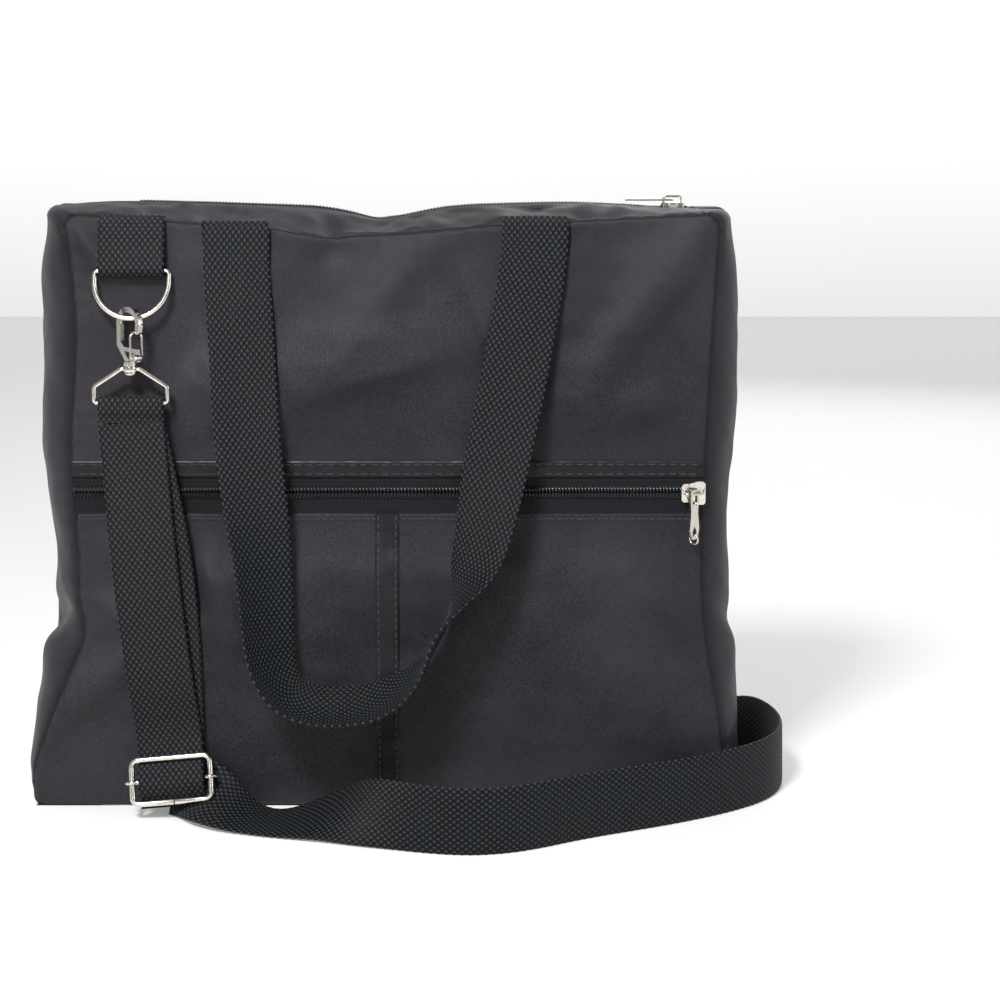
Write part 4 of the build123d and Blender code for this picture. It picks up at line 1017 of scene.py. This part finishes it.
BACK_HANDLE = [
    (-69.5, 275.9, 0, -3.4), (-69.5, 274.4, 0, -0.9), (-69.4, 268.0, 0), (-69.2, 256.0, 0),
    (-68.0, 225.0, 3, 0.4, 0.05), (-66.0, 185.0, 6, 1.0, 0.1), (-63.0, 140.0, 12, 1.6, 0.15),
    (-58.0, 100.0, 26, 3.0, 0.2), (-47.0, 72.0, 44, 5.2, 0.4), (-30.0, 58.0, 52, 6.6, 0.6),
    (-8.0, 55.0, 54, 7.0, 0.7), (14.0, 61.0, 52, 6.6, 0.6), (33.0, 77.0, 44, 5.0, 0.4), (46.0, 104.0, 26, 3.0, 0.2),
    (55.0, 142.0, 12, 1.6, 0.15), (62.0, 186.0, 6, 1.0, 0.1), (67.0, 226.0, 3, 0.4, 0.05), (69.2, 256.0, 0),
    (69.4, 268.0, 0), (69.5, 274.4, 0, -0.9), (69.5, 275.9, 0, -3.4),
]
for name, stations, front in (("front", FRONT_HANDLE, True), ("back", BACK_HANDLE, False)):
    path = handle_path(stations)
    seam = TOP_SEAM(path[:, 0]) if front else BACK_TOP(-path[:, 0])
    path[:, 2] += seam * smooth((path[:, 2] - 225) / 50)
    handle, verts = web("web_handle_" + name, path if front else half_turn(path))
    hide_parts("handle_" + name)
    bend(handle, "bag", "handle_" + name, smooth((276.5 - verts[:, 2]) / 8.0))
    for label, x in (("left", -68.0), ("right", 69.8)):
        place = np.array([x, FRONT - 1.0]) * (1 if front else -1)
        anchor, _ = web(f"web_anchor_{name}_{label}", [(*place, z, -1, 0, 0) for z in (266.6, 270, 273, 275.9)])
        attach(anchor, "bag")
        if label == "left":
            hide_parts("handle_anchors_" + name)

RING_X, AXIS_Y = -115.5, -48.70  # the snap hooks' swivel axis, front
LAYER = 0.95  # from it to the middle of each layer of the strap

# ring tab: a doubled length of webbing, sewn flat to the bag, its fold holding the ring
TAB = [(-39.6, 277.6), (-42.0, 275.6), (-43.7, 270.5), (-45.6, 263), (-46.1, 256.5), (-45.6, 252.2)]
TAB += [(-43.4, 250.4), (-41.6, 252.6), (-41.5, 262), (-41.3, 274.0)]
# the strap's fold through the foot of the swivel loop
FOLD = [(AXIS_Y - LAYER, 183.8), (AXIS_Y - LAYER - 0.15, 186.0), (AXIS_Y - 2.0, 189.4)]
FOLD += [(AXIS_Y - 2.2 * cos(radians(a)), 192.9 + 2.2 * sin(radians(a))) for a in np.linspace(-20, 200, 9)]
FOLD += [(AXIS_Y + 2.0, 189.4), (AXIS_Y + LAYER + 0.15, 186.0), (AXIS_Y + LAYER, 183.8)]

for name in ("front", "rear"):
    for kind, x, stations, weave, body in (
        ("ring_tab", -115, TAB, WEAVE, "bag"),
        ("fold", RING_X, FOLD, FOLD_WEAVE, "loop_" + name),
    ):
        path = np.array([(x, y, z, 1, 0, 0) for y, z in stations], float)
        piece, _ = web(f"web_{kind}_{name}", path if name == "front" else half_turn(path), weave)
        sew(piece, f"{'strap_' if kind == 'fold' else ''}{kind}_{name}", body)

# the strap's front drop: two layers down to its slider, whose own directions these are
SLIDER = np.array([-98.5, -57.5, 18.5])
FRAME_X = np.array([cos(radians(5)), 0.0, sin(radians(5))])
FRAME_UP = np.array([-0.0833, 0.2924, 0.9527])
FRAME_OUT = np.array([-0.0255, -0.9563, 0.2913])


def at_slider(up, out):
    return SLIDER + FRAME_UP * up + FRAME_OUT * out


def drop_path(start, end, sag):
    """A layer of the strap from the snap hook's fold down to the slider."""
    rows = []
    for share in np.linspace(0, 1, 7):
        place = start + (end - start) * share
        bow = sin(pi * share) ** 1.2
        place = place + np.array([sag[0] * bow, -sag[1] * bow, 0])
        wide = np.array([1.0, 0, 0]) * (1 - share) + FRAME_X * share
        wide = wide + np.array([0, 0.06 * bow, 0])
        rows.append([*place, *wide])
    return rows


FOLD_FOOT = 183.6  # lower end of the strap's fold in the swivel loop


def strap_layer(name, path, node, foot):
    """A layer of the strap from the hook's fold down to the slider."""
    piece, verts = web(name, path)
    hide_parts(node)
    bend(piece, "bag", "strap_slider", smooth((FOLD_FOOT - verts[:, 2]) / (FOLD_FOOT - foot)))


start = np.array([RING_X, AXIS_Y - LAYER, 183.76])
outer_path = drop_path(start, at_slider(14.7, -2.45), (-1.6, 1.0))
for up, out in ((10.2, -2.3), (6.2, -0.4), (2.4, 1.55), (-1.6, 1.6), (-5.4, 0.1), (-9.3, -2.3), (-12.2, -2.6)):
    outer_path.append([*at_slider(up, out), *FRAME_X])
strap_layer("web_strap_outer", outer_path, "strap_outer_layer", 26)

BAR = SLIDER - FRAME_OUT * 2.45
EYE_TILT, EYE_RADIUS = radians(20), 1.95
EYE_UP = FRAME_UP * cos(EYE_TILT) - FRAME_OUT * sin(EYE_TILT)
EYE_OUT = np.cross(FRAME_X, EYE_UP)
start = np.array([RING_X, AXIS_Y + LAYER, FOLD_FOOT])
inner_path = drop_path(start, BAR + EYE_UP * 13.15, (4.8, -0.6))
strap_layer("web_strap_inner", inner_path, "strap_inner_layer", 28)

# the strap's end, sewn back on itself round the slider's bar
loop = [(1.0, 12.9), (1.1, 9.5), (1.5, 6.0), (1.9, 2.5)]
loop += [(EYE_RADIUS * cos(radians(a)), EYE_RADIUS * sin(radians(a))) for a in (-20, -60, -90, -120, -160)]
loop += [(-1.9, 2.5), (-1.5, 6.0), (-1.1, 9.5), (-1.0, 12.9)]
eye_path = [[*(BAR + EYE_OUT * a + EYE_UP * b), *FRAME_X] for a, b in loop]
sew(web("web_strap_eye", eye_path, FOLD_WEAVE)[0], "strap_end_eye", "strap_slider")


FLOOR_LIFT = 0.2


def rest_on_floor(x, y, heading, upper):
    """A station of the loose strap where it rests on the floor on its lower edge or face."""
    heading, upper = unit(np.array([*heading, 0.0])), np.array(upper, float)
    across = unit(upper - heading * (upper @ heading))
    face = np.cross(heading, across)
    z = FLOOR_LIFT + WEB_WIDTH / 2 * abs(across[2]) + WEB / 2 * abs(face[2])
    return [x, y, z, *across]


# x, y, heading on the floor, and the way that the strap's upper edge looks
FLOOR = [
    (-97.0, -49.0, (1, -0.1), (0, 0.35, 0.94)),
    (-88.0, -53.0, (0.96, -0.28), (0, 0.58, 0.81)),
    (-77.0, -60.0, (0.95, -0.3), (0.08, 0.84, 0.53)),
    (-58.0, -67.0, (1, -0.22), (0.05, 0.99, 0.09)),
    (-40.0, -72.5, (1, -0.25), (0, 0.98, 0.20)),
    (-21.0, -80.0, (1, -0.4), (0, 0.82, 0.55)),
    (-5.0, -91.0, (1, -0.4), (0, 0.45, 0.90)),
    (15.0, -101.5, (1, -0.3), (0, 0.10, 0.99)),
    (42.0, -107.0, (1, 0), (0, 0, 1)),
    (63.0, -102.0, (0.95, 0.35), (0, 0, 1)),
    (88.0, -88.0, (0.9, 0.45), (0, 0, 1)),
    (122.0, -71.0, (0.9, 0.44), (0, 0, 1)),
    (154.0, -53.0, (0.83, 0.56), (0, 0, 1)),
    (183.0, -25.0, (0.5, 0.87), (0, 0.05, 1)),
    (191.0, 6.0, (0, 1), (0, 0, 1)),
    (185.0, 34.0, (-0.45, 0.9), (0.1, 0.1, 0.97)),
    (170.0, 53.0, (-0.85, 0.5), (0.2, 0.5, 0.75)),
    (147.0, 60.0, (-1, 0.05), (0, 1, 0.28)),
]
floor_run, verts = web("web_strap_floor", [rest_on_floor(*station) for station in FLOOR])
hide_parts("strap_floor_run")
bend(floor_run, "bag", "strap_slider", smooth((-8 - verts[:, 0]) / 89) * (verts[:, 1] < 0))

REAR = [
    rest_on_floor(146.7, 60.0, (-1, 0.05), (0, 1, 0.28)),
    [131.0, 60.0, 8.5, 0, 1, 0],
    [120.0, 59.5, 22.0, 0, 1, 0],
    [117.0, 58.0, 55.0, -0.3, 1, 0],
    [116.2, 56.0, 84.0, -0.6, 0.85, 0],
    [116.0, 53.5, 113.6, -0.8, 0.6, 0],
    [115.6, 51.2, 138.0, -0.95, 0.28, 0],
    [115.5, 49.6, 159.6, -1, 0.08, 0],
    [115.5, 48.7, 183.4, -1, 0, 0],
]
sew(web("web_strap_rear", REAR)[0], "strap_rear_run")


# ---------------------------------------------------------------- metal from the CAD
METAL = [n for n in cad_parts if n.startswith(("d_ring", "hook_", "swivel_loop", "strap_slider"))]
METAL += ["main_zip_slider", "main_zip_pull", "main_zip_stops"]
METAL += ["pocket_zip_slider", "pocket_zip_pull", "pocket_pull_ring"]
for name in METAL:
    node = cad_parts[name]
    node.data.materials.clear()
    node.data.materials.append(NICKEL)
    weld = node.modifiers.new("weld", "WELD")
    weld.merge_threshold = 0.01 * MM
    edge = node.modifiers.new("edge", "BEVEL")
    edge.width = 0.22 * MM
    edge.segments = 2
    edge.limit_method = "ANGLE"
    edge.angle_limit = radians(40)
    edge.harden_normals = False
    for face in node.data.polygons:
        face.use_smooth = True
    if name.startswith(("hook_body", "main_zip", "pocket_zip")):
        node.modifiers.new("normals", "WEIGHTED_NORMAL").keep_sharp = True

# ================================================================ floor, light, camera
WHITE = (1.0, 1.0, 1.0, 1.0)


def screen(name, finish, **placing):
    """A plain square of the studio."""
    bpy.ops.mesh.primitive_plane_add(**placing)
    plane = bpy.context.object
    plane.name = name
    plane.data.materials.append(finish.material)


paper = Finish("floor_paper", Base_Color=(0.58, 0.58, 0.58, 1.0), Roughness=0.6)
paper.set(Emission_Color=WHITE, Emission_Strength=0.24)
screen("floor", paper, size=8.0, location=(0, 1.0, 0))

# The backdrop stands upright, so its own Y is height: it glows a little less near the floor and far less high up.
glow = Finish("backdrop_white", Base_Color=(0.2, 0.2, 0.2, 1.0), Emission_Color=WHITE)
height = glow.axis(glow.place(), 1)
rise = glow.node("ShaderNodeMapRange", Value=height, From_Min=-2.0, From_Max=-1.5, To_Min=0.66, To_Max=1.0)
fall = glow.node("ShaderNodeMapRange", Value=height, From_Min=-1.0, From_Max=-0.4, To_Min=1.0, To_Max=0.25)
glow.set(Emission_Strength=rise * fall)
screen("backdrop", glow, size=7.0, location=(0, 2.6, 2.0), rotation=(pi / 2, 0, 0))

world = bpy.data.worlds.new("studio")
scene.world = world
world.use_nodes = True
sky = world.node_tree.nodes["Background"]
sky.inputs["Color"].default_value = (0.92, 0.95, 1.0, 1.0)
sky.inputs["Strength"].default_value = 0.35


def lamp(name, place, target_height, size, power, colour=(1.0, 1.0, 1.0)):
    """A rectangular lamp that looks at a height on the bag's middle line."""
    data = bpy.data.lights.new(name, "AREA")
    data.shape = "RECTANGLE"
    data.size, data.size_y = size
    data.energy = power
    data.color = colour
    light = bpy.data.objects.new(name, data)
    scene.collection.objects.link(light)
    light.location = place
    x, y, z = place
    light.rotation_euler = (np.arctan2(np.hypot(x, y), z - target_height), 0, np.arctan2(x, -y))


lamp("key", (-0.34, -0.92, 1.15), 0.16, (0.30, 0.30), 29.0, (1.0, 0.97, 0.98))
lamp("fill", (1.25, -0.5, 0.6), 0.12, (0.8, 0.8), 5.0, (0.80, 0.88, 1.0))
lamp("rear", (0.5, 1.35, 0.75), 0.12, (0.9, 0.9), 5.0)
lamp("strip", (-0.35, -1.5, 0.9), 0.15, (0.18, 1.0), 4.0, (1.0, 0.97, 0.93))
lamp("top", (0.1, 0.25, 1.5), 0.1, (1.2, 1.0), 2.0)

camera_data = bpy.data.cameras.new("camera")
camera = bpy.data.objects.new("camera", camera_data)
scene.collection.objects.link(camera)
camera.location = (0.0534, -0.990, 0.315)
camera.rotation_euler = (pi / 2 - 0.1035, 0, 0)
camera_data.lens = 74.63
camera_data.sensor_width = 36.0
camera_data.shift_y = -0.15
camera_data.clip_start = 0.05
camera_data.clip_end = 20.0
scene.camera = camera
